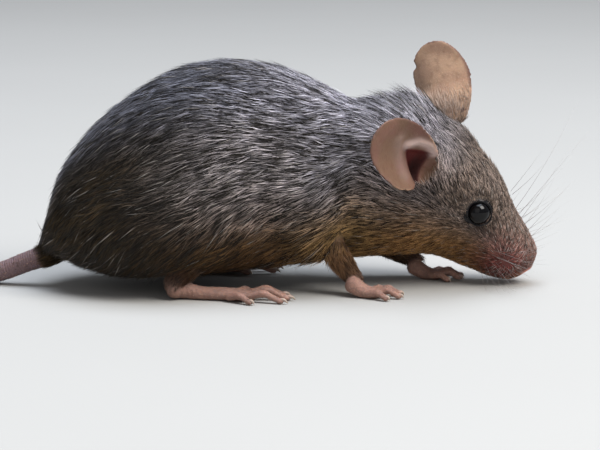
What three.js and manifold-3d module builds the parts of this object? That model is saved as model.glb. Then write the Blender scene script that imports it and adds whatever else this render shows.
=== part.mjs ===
// A house mouse, life size and still: it stands on all four feet with a hunched back, its right side
// towards -Y. The head is held low and tipped over to the right, and the tail lies behind on the floor.
//
// Millimetres. +X runs from rump to nose, +Y to the mouse's left and +Z up. The outline is that of the
// coat. Trunk, neck and head are one loft, parted by thin cuts. Legs, feet and tail are lofts too, and
// ears and eyes are set into the head. The dimensions below are given from a point on the floor under
// the middle of the back, and the last lines move the origin to the middle of the whole, on the floor.
// Turns are [yaw, pitch, roll] in degrees: a positive pitch dips the nose, and a positive roll lifts
// the left side.

import * as THREE from 'three';
import { ParametricGeometry } from 'three/addons/geometries/ParametricGeometry.js';
import { mergeVertices } from 'three/addons/utils/BufferGeometryUtils.js';
import Module from 'manifold-3d';

const wasm = await Module();
wasm.setup();

// ---- driving dimensions -------------------------------------------------------------------------

const GAP = 0.3; // between neighbouring pieces
const MERGE = 1e-4; // vertices closer than this are one
const RIGHT = -1; // the side of a paired part, as the sign of its Y
const LEFT = 1;
const SIDES = [RIGHT, LEFT];

const HEAD = {
  occiput: [21.2, 0, 21.9], // the back of the skull, where the head's own frame starts
  turn: [3, 40.5, 30],
};
const EYE = { radius: 1.75, x: 16.7, side: 3.95, z: 2.5 };
const EAR = { x: 7.6, side: 6.75, z: 3.0, length: 12.9, width: 9.2, thick: 0.7 };
const EAR_BOWL = { depth: 2.4, rootWidth: 5.0, rootThick: 2.6 };
const TAIL = { rootRadius: 1.6, tipRadius: 0.42, sink: 0.86 };

// Sections of the trunk from rump to nape: wide, up and down are the half-extents about x and z.
const TRUNK = [
  { x: -26.2, z: 7.4, wide: 0, up: 0, down: 0 },
  { x: -25.2, z: 7.8, wide: 4.6, up: 3.4, down: 2.6 },
  { x: -22.6, z: 9.6, wide: 8.5, up: 8.3, down: 5.8 },
  { x: -18.4, z: 11.6, wide: 11.4, up: 11.8, down: 9.4 },
  { x: -13.0, z: 13.4, wide: 13.0, up: 14.4, down: 11.8 },
  { x: -6.4, z: 14.4, wide: 13.4, up: 16.8, down: 12.4 },
  { x: 0.4, z: 14.8, wide: 12.7, up: 17.4, down: 12.6 },
  { x: 7.0, z: 15.0, wide: 11.4, up: 16.2, down: 12.2 },
  { x: 13.0, z: 15.2, wide: 10.2, up: 13.6, down: 11.6, turn: [0, 4, 2] },
];

// Sections of the head in its own frame, from the nape to the end of the snout.
const SKULL = [
  { x: 0.6, y: -2.2, z: -4.2, wide: 9.1, up: 9.6, down: 14.4, turn: [1, 16, 8] },
  { x: 6.2, y: -1.0, z: -2.4, wide: 8.3, up: 8.6, down: 14.2, turn: [2, 28, 17] },
  { x: 11.8, y: -0.3, z: -1.0, wide: 7.1, up: 7.7, down: 12.8, turn: [3, 37, 26] },
  { x: 17.0, y: 0, z: -0.4, wide: 5.3, up: 6.1, down: 9.5 },
  { x: 21.6, y: 0, z: -0.8, wide: 4.0, up: 4.5, down: 7.2 },
  { x: 25.2, y: 0, z: -1.0, wide: 3.3, up: 3.3, down: 5.4 },
  { x: 27.8, y: 0, z: -1.2, wide: 2.4, up: 2.1, down: 3.3 },
  { x: 29.0, y: 0, z: -1.5, wide: 0, up: 0, down: 0 },
];

const BODY_FULLNESS = 2.25; // how square its sections are, where 2 is an ellipse

// Where the neck begins and ends, in sections of the body counted from the rump.
const NECK = [7.8, 9.6];

// Muscles and pads that swell the body: how high they rise, and how far they reach over its surface.
// Those of the head are placed in the head's frame.
const TRUNK_SWELLS = [
  { name: 'haunch', at: [-10.5, 12.0, 9.5], height: 1.7, reach: 5.6 },
  { name: 'knee', at: [-3.6, 11.2, 5.4], height: 1.6, reach: 3.2 },
  { name: 'shoulder', at: [12.0, 10.0, 11.0], height: 1.3, reach: 4.4 },
];
const HEAD_SWELLS = [
  { name: 'ear_base', at: [9.0, 6.0, 4.6], height: 1.7, reach: 2.6 },
  { name: 'brow', at: [15.8, 3.2, 4.8], height: 0.3, reach: 1.9 },
  { name: 'cheek', at: [11.5, 6.6, -4.0], height: 0.8, reach: 3.2 },
  { name: 'whisker_pad', at: [23.8, 3.0, -2.6], height: 0.9, reach: 1.9 },
  { name: 'eye_socket', at: [17.0, 5.0, 2.8], height: -0.8, reach: 1.7 },
];

// The part of the flank that is hind leg: a round region, from this far out.
const THIGH = { x: -10.2, z: 9.6, radius: 8.4, inner: 6.2 };

// Limbs as [x, y away from the middle, z, radius], from inside the body outwards.
const SHANK = [
  [-8.0, 8.0, 9.4, 4.6],
  [-3.6, 9.2, 6.6, 3.9],
  [-5.4, 9.8, 4.6, 2.7],
  [-7.4, 9.8, 2.6, 1.5],
];
const ARM_STANDING = [
  [12.6, 5.2, 12.0, 3.0],
  [13.9, 6.3, 7.6, 2.4],
  [15.3, 7.0, 4.9, 1.75],
  [16.9, 7.0, 2.6, 1.2],
];
const ARM_REACHING = [
  [13.4, 4.8, 11.4, 3.2],
  [16.8, 6.2, 7.0, 2.5],
  [21.6, 6.8, 4.4, 1.6],
  [26.0, 6.8, 2.4, 1.15],
];

// A foot pointing along X with its heel or wrist at x = 0, and y away from the body. A row of its sole
// is [x, y, z, half-width, half-height]. A toe runs from `from` to `to` over its knuckle's height.
const HIND_FOOT = {
  sole: [
    [0.2, 0, 1.6, 1.2, 1.5],
    [3.2, 0.1, 0.95, 1.2, 1.05],
    [7.0, 0.2, 0.85, 1.6, 0.95],
    [9.6, 0.3, 0.7, 2.0, 0.85],
  ],
  toes: [
    { from: [7.8, -1.3, 0.7], to: [11.4, -3.1], knuckle: 1.1 },
    { from: [9.8, -1.2, 0.7], to: [15.6, -2.2], knuckle: 1.35 },
    { from: [10.0, 0.2, 0.7], to: [16.4, 0.3], knuckle: 1.45 },
    { from: [9.8, 1.5, 0.7], to: [15.6, 2.7], knuckle: 1.35 },
    { from: [7.6, 1.7, 0.7], to: [11.2, 4.0], knuckle: 1.1 },
  ],
};
const FORE_FOOT = {
  sole: [
    [-0.2, 0, 1.8, 1.0, 1.3],
    [1.4, 0.05, 0.9, 1.25, 1.1],
    [3.0, 0.1, 0.6, 1.45, 0.85],
  ],
  toes: [
    { from: [2.2, -1.0, 0.7], to: [5.0, -2.7], knuckle: 1.05 },
    { from: [3.0, -0.5, 0.7], to: [6.8, -1.0], knuckle: 1.25 },
    { from: [3.0, 0.6, 0.7], to: [6.8, 1.1], knuckle: 1.25 },
    { from: [2.2, 1.2, 0.7], to: [5.0, 2.9], knuckle: 1.05 },
  ],
};
const TOE = { radius: 0.55, claw: 0.26 };
const ANKLE = 2.3; // the height at which every leg is parted from its foot

// Each limb, with how far its rows are moved along X and how far its toes turn out, in degrees.
const LIMBS = [
  { name: 'hind', side: RIGHT, rows: SHANK, shape: HIND_FOOT, x: 0, splay: 5, hasThigh: true },
  { name: 'hind', side: LEFT, rows: SHANK, shape: HIND_FOOT, x: -1.6, splay: 9, hasThigh: true },
  { name: 'fore', side: RIGHT, rows: ARM_STANDING, shape: FORE_FOOT, x: 0, splay: 4 },
  { name: 'fore', side: LEFT, rows: ARM_REACHING, shape: FORE_FOOT, x: 0, splay: -4 },
];

// The tail's course from its root inside the rump to its tip. Where no height is given it lies on the
// floor.
const TAIL_COURSE = [
  [-22, 0, 6.0],
  [-28.2, 0.3, 3.6],
  [-35.5, 1.8],
  [-47, 6.4],
  [-58, 13.6],
  [-67.5, 23],
  [-75, 34],
  [-81.5, 45.5],
];
const TAIL_CUTS = [0.42, 0.7]; // as shares of its length

const COAT = { color: 0x857260, roughness: 0.85, metalness: 0 };
const BARE_SKIN = { color: 0xc7998a, roughness: 0.6, metalness: 0 };
const EAR_SKIN = { color: 0xa98573, roughness: 0.6, metalness: 0 };
const EYE_BLACK = { color: 0x0b0908, roughness: 0.08, metalness: 0 };

// ---- lofts --------------------------------------------------------------------------------------

const { degToRad, radToDeg, lerp } = THREE.MathUtils;
const toEuler = ([yaw, pitch, roll]) => new THREE.Euler(...[roll, pitch, yaw].map(degToRad), 'ZYX');

/** A closed geometry as a solid: shared vertices are merged and empty triangles dropped. */
function solid(geometry) {
  const bare = new THREE.BufferGeometry();
  bare.setAttribute('position', geometry.getAttribute('position'));
  bare.setIndex(geometry.getIndex());
  const merged = mergeVertices(bare, MERGE);
  const index = merged.getIndex().array;
  const corners = [];
  for (let i = 0; i < index.length; i += 3) {
    const [a, b, c] = index.slice(i, i + 3);
    if (a !== b && b !== c && c !== a) corners.push(a, b, c);
  }
  return new wasm.Manifold(
    new wasm.Mesh({
      numProp: 3,
      vertProperties: merged.getAttribute('position').array,
      triVerts: new Uint32Array(corners),
    }),
  );
}

/** The smooth course of sections: a function from 0..1 to the section there. */
function courseOf(sections) {
  const curveOf = (pick) => {
    const points = sections.map((section) => new THREE.Vector3(...pick(section)));
    return new THREE.CatmullRomCurve3(points, false, 'catmullrom');
  };
  const centres = curveOf(({ at }) => at);
  const turns = curveOf(({ turn }) => turn);
  const sizes = curveOf(({ wide, up, down }) => [wide, up, down]);
  return (share) => {
    const [wide, up, down] = sizes.getPoint(share).toArray().map((size) => (size > MERGE ? size : 0));
    return { at: centres.getPoint(share), turn: turns.getPoint(share).toArray(), wide, up, down };
  };
}

/**
 * A closed body through sections whose first and last have no size. A section is an ellipse where
 * `fullness` is 2 and squarer above that, and `shape` moves its points.
 */
function loft(sections, around, along, { fullness = 2, shape = () => {} } = {}) {
  const course = courseOf(sections);
  const full = (share) => Math.sign(share) * Math.abs(share) ** (2 / fullness);
  const surface = (u, v, target) => {
    const { at, turn, wide, up, down } = course(v);
    const angle = 2 * Math.PI * (u % 1);
    const [aside, rise] = [full(Math.cos(angle)), full(Math.sin(angle))];
    target.set(0, wide * aside, rise * (rise > 0 ? up : down)).applyEuler(toEuler(turn)).add(at);
    shape(target, at);
  };
  return solid(new ParametricGeometry(surface, around, along));
}

// How far an end reaches past the last row, and what is left of its size there, as shares of its size.
const ROUND = [
  [0.75, 0.66],
  [1, 0],
];
const POINTED = [[1, 0]];

/** Rows [x, y, z, half-width, half-height] as sections square to their course, with closed ends. */
function roundEnded(rows, capShares) {
  const points = rows.map(([x, y, z]) => new THREE.Vector3(x, y, z));
  const course = new THREE.CatmullRomCurve3(points, false, 'catmullrom');
  let yaw = 0;
  const sections = rows.map(([, , , wide, high = wide], i) => {
    const ahead = course.getTangent(i / (rows.length - 1));
    const heading = radToDeg(Math.atan2(ahead.y, ahead.x));
    yaw = heading + 360 * Math.round((yaw - heading) / 360);
    const turn = [yaw, -radToDeg(Math.asin(ahead.z)), 0];
    return { at: points[i].toArray(), turn, wide, up: high, down: high, ahead };
  });
  const cap = (section, reach, share) => {
    const length = reach * Math.min(section.wide, section.up);
    const at = new THREE.Vector3(...section.at).addScaledVector(section.ahead, length).toArray();
    return { ...section, at, wide: share * section.wide, up: share * section.up, down: share * section.down };
  };
  const capsOf = (section, sign) => capShares.map(([reach, share]) => cap(section, sign * reach, share));
  return [...capsOf(sections[0], -1).reverse(), ...sections, ...capsOf(sections.at(-1), 1)];
}

/** A rod along rows, with round ends, or with pointed ones where `caps` says so. */
function rod(rows, sides, rings, caps = ROUND) {
  const sections = roundEnded(rows, caps);
  return loft(sections, sides, (sections.length - 1) * rings);
}

// ---- cuts ---------------------------------------------------------------------------------------

const WIDE = 300; // the side of a block that is wider than the mouse

/** A block with its middle at a point, turned about that point. */
function block(size, at, turn = [0, 0, 0]) {
  const box = new THREE.BoxGeometry(...size);
  box.applyMatrix4(new THREE.Matrix4().makeRotationFromEuler(toEuler(turn)));
  return solid(box.translate(...at));
}

const aboveFloor = block([WIDE, WIDE, WIDE], [0, 0, WIDE / 2]);
const aboveAnkle = block([WIDE, WIDE, WIDE], [0, 0, ANKLE + (GAP + WIDE) / 2]);
const belowAnkle = block([WIDE, WIDE, WIDE], [0, 0, ANKLE - (GAP + WIDE) / 2]);

const cutBy = (piece, cutters) => cutters.reduce((rest, cutter) => rest.subtract(cutter), piece);
const middleX = (piece) => piece.boundingBox().min[0] + piece.boundingBox().max[0];
const byX = (a, b) => middleX(a) - middleX(b);
const largest = (piece) => piece.decompose().reduce((a, b) => (a.volume() > b.volume() ? a : b));

// ---- body ---------------------------------------------------------------------------------------

const headFrame = new THREE.Matrix4().makeRotationFromEuler(toEuler(HEAD.turn));
headFrame.setPosition(...HEAD.occiput);

/** A point of the head's own frame, in millimetres forwards, to the left and up from the occiput. */
const onHead = (x, y, z) => new THREE.Vector3(x, y, z).applyMatrix4(headFrame);

const onTrunk = (x, y, z) => new THREE.Vector3(x, y, z);
const bothSides = (swells, place) =>
  swells.flatMap(({ at: [x, y, z], height, reach }) =>
    SIDES.map((side) => ({ at: place(x, side * y, z), height, reach })),
  );
const swells = [...bothSides(TRUNK_SWELLS, onTrunk), ...bothSides(HEAD_SWELLS, onHead)];

/** Moves a point of the body away from the middle of its section, by the swells near it and `grow`. */
function swell(point, middle, grow) {
  const outwards = point.clone().sub(middle).normalize();
  let rise = grow;
  for (const { at, height, reach } of swells) {
    rise += height * Math.exp(-point.distanceToSquared(at) / (2 * reach ** 2));
  }
  point.addScaledVector(outwards, rise);
}

const bodySections = [
  ...TRUNK.map(({ x, z, ...rest }) => ({ turn: [0, 0, 0], ...rest, at: [x, 0, z] })),
  ...SKULL.map(({ x, y, z, ...rest }) => ({ turn: HEAD.turn, ...rest, at: onHead(x, y, z).toArray() })),
];
const bodySpans = bodySections.length - 1;

/** Trunk, neck and head in one, grown outwards where it serves to cut. */
const bodyOf = (grow = 0) =>
  loft(bodySections, 28, Math.round(bodySpans * 2.25), {
    fullness: BODY_FULLNESS,
    shape: (point, middle) => swell(point, middle, grow),
  });

/** The two thin plates at the ends of the neck. */
function neckPlates() {
  const course = courseOf(bodySections);
  return NECK.map((section) => {
    const { at, turn } = course(section / bodySpans);
    return block([GAP, WIDE, WIDE], at.toArray(), turn);
  });
}

// ---- ears and eyes ------------------------------------------------------------------------------

/** The half-width of the pinna at a share of its length: narrow at its root, and round above. */
function earHalfWidth(share) {
  const widest = 0.56;
  if (share > widest) return (EAR.width / 2) * Math.sqrt(1 - ((share - widest) / (1 - widest)) ** 2);
  return lerp(EAR_BOWL.rootWidth / 2, EAR.width / 2, Math.sin((Math.PI / 2) * (share / widest)));
}

/** A cupped pinna from its root along `tip`, with its open side towards `face`. */
function ear(root, tip, face) {
  const up = tip.clone().normalize();
  const out = face.clone().addScaledVector(up, -face.dot(up)).normalize();
  const aside = new THREE.Vector3().crossVectors(up, out);
  const surface = (u, v, target) => {
    const share = Math.sin((Math.PI / 2) * v);
    const angle = 2 * Math.PI * (u % 1);
    const [across, through] = [Math.cos(angle), -Math.sin(angle)];
    const closing = Math.sqrt(Math.min(1, 6 * v, 4 * (1 - v)));
    const thick = lerp(EAR_BOWL.rootThick, EAR.thick, Math.min(1, share / 0.35)) * closing;
    const bowl = EAR_BOWL.depth * (0.5 - across ** 2) * Math.sin(Math.PI * Math.min(1, share + 0.15));
    const offset = (thick / 2) * Math.sign(through) * Math.sqrt(Math.abs(through)) - bowl;
    target.copy(root).addScaledVector(up, share * EAR.length);
    target.addScaledVector(aside, earHalfWidth(share) * across * Math.min(1, 8 * v));
    target.addScaledVector(out, offset);
  };
  return solid(new ParametricGeometry(surface, 20, 9));
}

const EARS = {
  ear_right: { side: RIGHT, tip: [-0.57, -0.6, 0.62], face: [0.5, -0.86, -0.1] },
  ear_left: { side: LEFT, tip: [-0.18, 0.16, 0.98], face: [0.5, 0.85, 0] },
};

/** An eyeball, larger where it serves to cut its socket. */
function eyeball(side, grow = 0) {
  const ball = new THREE.SphereGeometry(EYE.radius + grow, 12, 8);
  return solid(ball.translate(...onHead(EYE.x, side * EYE.side, EYE.z).toArray()));
}

// ---- limbs and tail -----------------------------------------------------------------------------

/** A leg from inside the body to its ankle or wrist. */
function legOf({ rows, side, x }, grow = 0) {
  return rod(rows.map(([rowX, y, z, radius]) => [rowX + x, side * y, z, radius + grow]), 10, 2);
}

/** The round region of the flank that belongs to a hind leg. */
function thighRegion({ side, x }, grow = 0) {
  const radius = THIGH.radius + grow;
  const drum = new THREE.CylinderGeometry(radius, radius, WIDE, 28);
  return solid(drum.translate(THIGH.x + x, side * (THIGH.inner - grow + WIDE / 2), THIGH.z));
}

/** A toe from its root over its knuckle to a blunt claw. */
function toe({ from, to, knuckle }) {
  const { radius, claw } = TOE;
  const [start, end] = [new THREE.Vector3(...from), new THREE.Vector3(...to, claw)];
  const between = (share, z) => start.clone().lerp(end, share).setZ(z).toArray();
  const rows = [
    [...from, 1.15 * radius, radius],
    [...between(0.42, knuckle), radius, 0.95 * radius],
    [...between(0.8, radius - 0.1), 1.05 * radius, radius],
    [...end.toArray(), claw, claw],
  ];
  return rod(rows, 5, 1, POINTED);
}

/** A foot under the end of its leg. */
function footOf({ shape, rows, side, x, splay }) {
  const [ankleX, ankleY] = rows.at(-1);
  const parts = [rod(shape.sole, 8, 1, POINTED), ...shape.toes.map(toe)];
  const right = parts.reduce((sum, piece) => sum.add(piece));
  const sided = side === RIGHT ? right.mirror([0, 1, 0]) : right;
  return sided.rotate([0, 0, side * splay]).translate([ankleX + x, side * ankleY, 0]);
}

/** The tail from inside the rump to its tip. */
function tailOf(grow = 0) {
  const rows = TAIL_COURSE.map(([x, y, height], i) => {
    const share = i / (TAIL_COURSE.length - 1);
    const radius = lerp(TAIL.rootRadius, TAIL.tipRadius, share ** 1.15);
    return [x, y, height ?? TAIL.sink * radius, radius + grow];
  });
  return rod(rows, 8, 2);
}

/** The thin plates between the lengths of the tail. */
function tailPlates() {
  const course = new THREE.CatmullRomCurve3(TAIL_COURSE.map(([x, y, z = 0]) => onTrunk(x, y, z)));
  return TAIL_CUTS.map((share) => {
    const [at, ahead] = [course.getPoint(share), course.getTangent(share)];
    const yaw = radToDeg(Math.atan2(ahead.y, ahead.x));
    return block([GAP, 12, 12], at.toArray(), [yaw, 0, 0]);
  });
}

// ---- pieces -------------------------------------------------------------------------------------

/** Every piece by its name. */
function makePieces() {
  const pieces = {};
  const whole = bodyOf();
  const bodyCutters = [tailOf(GAP), eyeball(RIGHT, GAP), eyeball(LEFT, GAP)];
  for (const limb of LIMBS) {
    const sideName = limb.side === RIGHT ? 'right' : 'left';
    let leg = legOf(limb);
    bodyCutters.push(leg, legOf(limb, GAP));
    if (limb.hasThigh) {
      leg = leg.add(whole.intersect(thighRegion(limb)));
      bodyCutters.push(thighRegion(limb, GAP));
    }
    const joined = leg.add(footOf(limb)).intersect(aboveFloor);
    pieces[`${limb.name}leg_${sideName}`] = largest(joined.intersect(aboveAnkle));
    pieces[`${limb.name}foot_${sideName}`] = largest(joined.intersect(belowAnkle));
  }
  const body = cutBy(largest(cutBy(whole, bodyCutters)), neckPlates());
  [pieces.trunk, pieces.neck, pieces.head] = body.decompose().sort(byX);

  pieces.eye_right = eyeball(RIGHT);
  pieces.eye_left = eyeball(LEFT);
  const bodyGrown = bodyOf(GAP);
  for (const [name, { side, tip, face }] of Object.entries(EARS)) {
    const root = onHead(EAR.x, side * EAR.side, EAR.z);
    const pinna = ear(root, new THREE.Vector3(...tip), new THREE.Vector3(...face));
    pieces[name] = largest(pinna.subtract(bodyGrown));
  }
  const tail = cutBy(tailOf().intersect(aboveFloor), tailPlates());
  [pieces.tail_tip, pieces.tail_middle, pieces.tail_base] = tail.decompose().sort(byX);
  return pieces;
}

/** A named mesh of a piece, with its own middle as its position. */
function meshOf(name, piece, finish) {
  const { vertProperties, triVerts } = piece.getMesh();
  const geometry = new THREE.BufferGeometry();
  geometry.setAttribute('position', new THREE.BufferAttribute(vertProperties, 3));
  geometry.setIndex(new THREE.BufferAttribute(triVerts, 1));
  geometry.computeBoundingBox();
  const middle = geometry.boundingBox.getCenter(new THREE.Vector3());
  geometry.translate(...middle.clone().negate().toArray());
  geometry.computeVertexNormals();
  const mesh = new THREE.Mesh(geometry, new THREE.MeshStandardMaterial(finish));
  mesh.name = name;
  mesh.position.copy(middle);
  return mesh;
}

/** The finish of a piece, by the kind of flesh it is. */
function finishOf(name) {
  if (name.startsWith('eye')) return EYE_BLACK;
  if (name.startsWith('ear')) return EAR_SKIN;
  return name.startsWith('tail') || name.includes('foot_') ? BARE_SKIN : COAT;
}

const mouse = new THREE.Group();
for (const [name, piece] of Object.entries(makePieces())) mouse.add(meshOf(name, piece, finishOf(name)));

const bounds = new THREE.Box3().setFromObject(mouse);
const base = bounds.getCenter(new THREE.Vector3()).setZ(bounds.min.z);
mouse.position.copy(base).negate();

export default mouse;
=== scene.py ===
"""A house mouse, life size and still: one skin, a coat of tufts, claws, eyes and whiskers.

Shapes are worked out in millimetres in the maker's frame. Its origin is on the floor under the middle
of the back, +X runs from rump to nose, +Y to the mouse's left and +Z up. Each finished mesh is then
moved to the row's frame, in metres.
"""

from __future__ import annotations

import logging
from dataclasses import dataclass, field
from enum import Enum
from typing import Any, Callable, Sequence

import bpy
import numpy as np
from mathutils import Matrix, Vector, kdtree

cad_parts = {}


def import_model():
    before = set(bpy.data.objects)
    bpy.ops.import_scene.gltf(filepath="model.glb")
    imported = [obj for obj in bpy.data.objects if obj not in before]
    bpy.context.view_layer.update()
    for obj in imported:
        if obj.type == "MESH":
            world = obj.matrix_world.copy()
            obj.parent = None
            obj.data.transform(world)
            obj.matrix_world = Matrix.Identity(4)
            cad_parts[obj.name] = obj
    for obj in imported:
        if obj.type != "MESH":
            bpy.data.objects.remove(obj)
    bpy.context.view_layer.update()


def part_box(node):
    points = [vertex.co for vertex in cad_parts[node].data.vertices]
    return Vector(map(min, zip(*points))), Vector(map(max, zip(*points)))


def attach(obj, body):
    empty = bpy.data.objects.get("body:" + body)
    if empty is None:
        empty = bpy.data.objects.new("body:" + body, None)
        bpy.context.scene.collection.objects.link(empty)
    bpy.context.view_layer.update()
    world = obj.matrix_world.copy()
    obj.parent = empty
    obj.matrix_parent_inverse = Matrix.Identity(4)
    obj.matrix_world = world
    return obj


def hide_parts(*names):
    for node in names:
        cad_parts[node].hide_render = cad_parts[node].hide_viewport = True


log = logging.getLogger("mouse")

MM = 0.001  # metres
SEED = 11
RIGHT, LEFT = -1, 1  # the side of a paired part, as the sign of its Y
SIDE_NAMES = {RIGHT: "right", LEFT: "left"}
EMPTY = 1e-9  # the least length to divide by
PAD_ROWS, PAD_COLUMNS = 5, 6  # the whiskers of one pad

Rows = Sequence[Sequence[float]]
Triple = tuple[float, float, float]  # a place, or a linear colour


# ---- numbers ------------------------------------------------------------------------------------


def unit(vectors: np.ndarray) -> np.ndarray:
    """Vectors at length one."""
    return vectors / np.maximum(np.linalg.norm(vectors, axis=-1, keepdims=True), EMPTY)


def smoothstep(low: float, high: float, x: np.ndarray) -> np.ndarray:
    """0 before low and 1 after high, with a smooth rise between. Low may be above high."""
    t = np.clip((x - low) / (high - low), 0, 1)
    return t * t * (3 - 2 * t)


def blend(a: np.ndarray, b: np.ndarray, share: np.ndarray) -> np.ndarray:
    """Rows that go from a to b by their share."""
    return a + (np.asarray(b) - a) * share[..., None]


def bump_at(points: np.ndarray, centre: Sequence[float], reach: float | Sequence[float]) -> np.ndarray:
    """A round hill of height 1 about a centre, with its reach along each axis."""
    return np.exp(-0.5 * np.sum(((points - np.asarray(centre)) / reach) ** 2, axis=-1))


def waves(points: np.ndarray, length: float, seed: int) -> np.ndarray:
    """A smooth random field between about -1 and 1, whose waves have about that length."""
    rng = np.random.default_rng(seed)
    total = np.zeros(len(points))
    for _ in range(7):
        way = unit(rng.normal(size=3)) * 2 * np.pi / (length * rng.uniform(0.7, 1.5))
        total += np.sin(points @ way + rng.uniform(0, 2 * np.pi))
    return total / 2.6


def turned(points: np.ndarray, turn: np.ndarray) -> np.ndarray:
    """Points turned by [yaw, pitch, roll] in degrees: roll first, then pitch, then yaw.

    Args:
        points: One point a row, in any number of leading axes.
        turn: One turn, or one a point.

    Returns:
        The turned points. A positive pitch dips +X, and a positive roll lifts +Y.
    """
    x, y, z = np.moveaxis(np.asarray(points, float), -1, 0)
    yaw, pitch, roll = np.moveaxis(np.radians(turn), -1, 0)
    y, z = y * np.cos(roll) - z * np.sin(roll), y * np.sin(roll) + z * np.cos(roll)
    x, z = x * np.cos(pitch) + z * np.sin(pitch), z * np.cos(pitch) - x * np.sin(pitch)
    x, y = x * np.cos(yaw) - y * np.sin(yaw), x * np.sin(yaw) + y * np.cos(yaw)
    return np.stack([x, y, z], axis=-1)


def on_side(place: Sequence[float], side: int) -> np.ndarray:
    """A place on one side, from its numbers with Y counted away from the middle."""
    x, y, z = place
    return np.array([x, side * y, z])


def parted(points: np.ndarray, centre: np.ndarray, reach: float,
           sharpness: int) -> tuple[np.ndarray, np.ndarray]:
    """How near points are to a centre, from 0 to 1, and the way in which each lies from it."""
    away = points - centre
    return np.exp(-((np.linalg.norm(away, axis=1) / reach) ** sharpness)), unit(away)


def tree_of(points: np.ndarray) -> kdtree.KDTree:
    """A tree that finds the nearest of some points."""
    tree = kdtree.KDTree(len(points))
    for i, point in enumerate(points):
        tree.insert(point, i)
    tree.balance()
    return tree


def read(items: Any, name: str, wide: int = 1, kind: type = np.float32) -> np.ndarray:
    """One property of many items at once, with a row for each where it is wide."""
    values = np.empty(len(items) * wide, kind)
    items.foreach_get(name, values)
    return values.reshape(-1, wide) if wide > 1 else values


class Course:
    """A smooth line through rows of numbers, at even shares from 0 to 1."""

    def __init__(self, rows: Rows) -> None:
        """Keeps the rows, with one more at each end that carries the line on."""
        rows = np.asarray(rows, float)
        self.spans = len(rows) - 1
        self.rows = np.concatenate([[2 * rows[0] - rows[1]], rows, [2 * rows[-1] - rows[-2]]])

    def at(self, share: np.ndarray) -> np.ndarray:
        """The numbers at shares of the line."""
        place = np.clip(share, 0, 1) * self.spans
        i = np.minimum(place.astype(int), self.spans - 1)
        t = (place - i)[..., None]
        before, start, end, after = (self.rows[i + k] for k in range(4))
        leave, arrive = (end - before) / 2, (after - start) / 2
        cubic = 2 * start - 2 * end + leave + arrive
        square = 3 * end - 3 * start - 2 * leave - arrive
        return ((cubic * t + square) * t + leave) * t + start

    def ahead(self, share: np.ndarray) -> np.ndarray:
        """The direction of the line's first three numbers at shares of it."""
        step = 1e-4
        low, high = np.maximum(share - step, 0), np.minimum(share + step, 1)
        return unit(self.at(high)[..., :3] - self.at(low)[..., :3])


# ---- the mouse's own sizes ----------------------------------------------------------------------

OCCIPUT = np.array([21.2, 0, 21.9])  # the back of the skull, where the head's own frame starts
HEAD_TURN = np.array([3, 40.5, 30.0])
HEAD_AXES = turned(np.eye(3), HEAD_TURN)  # forwards, left and up, one a row


def on_head(points: Rows | np.ndarray) -> np.ndarray:
    """Points of the head's own frame in the maker's frame."""
    return np.asarray(points, float) @ HEAD_AXES + OCCIPUT


def in_head(points: np.ndarray) -> np.ndarray:
    """Points of the maker's frame in the head's own frame."""
    return (points - OCCIPUT) @ HEAD_AXES.T


class Kind(Enum):
    """What a place of the skin belongs to."""

    BODY = 0
    LEG = 1
    FOOT = 2
    EAR = 3
    TAIL = 4
    LID = 5


# What a place of the skin says of itself. Rise goes from -1 under the belly to 1 on the spine.
FIELDS = ("length", "share", "rise", "bare", "dark", "inner", "edge", "along")


@dataclass
class Tube:
    """A closed tube of rings, with the lie of its hair.

    Attributes:
        points: Rings by places around by three.
        lie: The way its hair points, of the same shape.
        kind: What it belongs to.
        fields: What it says of its places, as a number or rings by places around.
    """

    points: np.ndarray
    lie: np.ndarray
    kind: Kind
    fields: dict[str, Any] = field(default_factory=dict)

    def faces(self) -> list[tuple[int, ...]]:
        """Its quads and the two faces that close it."""
        rings, around = self.points.shape[:2]
        at = np.arange(rings * around).reshape(rings, around)
        beside = np.roll(at, -1, axis=1)
        quads = np.stack([at[:-1], beside[:-1], beside[1:], at[1:]], axis=-1).reshape(-1, 4)
        return [*map(tuple, quads.tolist()), tuple(at[0, ::-1].tolist()), tuple(at[-1].tolist())]

    def table(self) -> np.ndarray:
        """Its fields with one row a point, in the order of FIELDS."""
        shape = self.points.shape[:2]
        columns = [np.broadcast_to(self.fields.get(name, 0.0), shape).ravel() for name in FIELDS]
        return np.stack(columns, axis=1)


def joined(tubes: Sequence[Tube]) -> tuple[np.ndarray, list[tuple[int, ...]]]:
    """The points and the faces of tubes, as one mesh."""
    points, faces, start = [], [], 0
    for tube in tubes:
        points.append(tube.points.reshape(-1, 3))
        faces += [tuple(i + start for i in face) for face in tube.faces()]
        start += len(points[-1])
    return np.concatenate(points), faces


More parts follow.
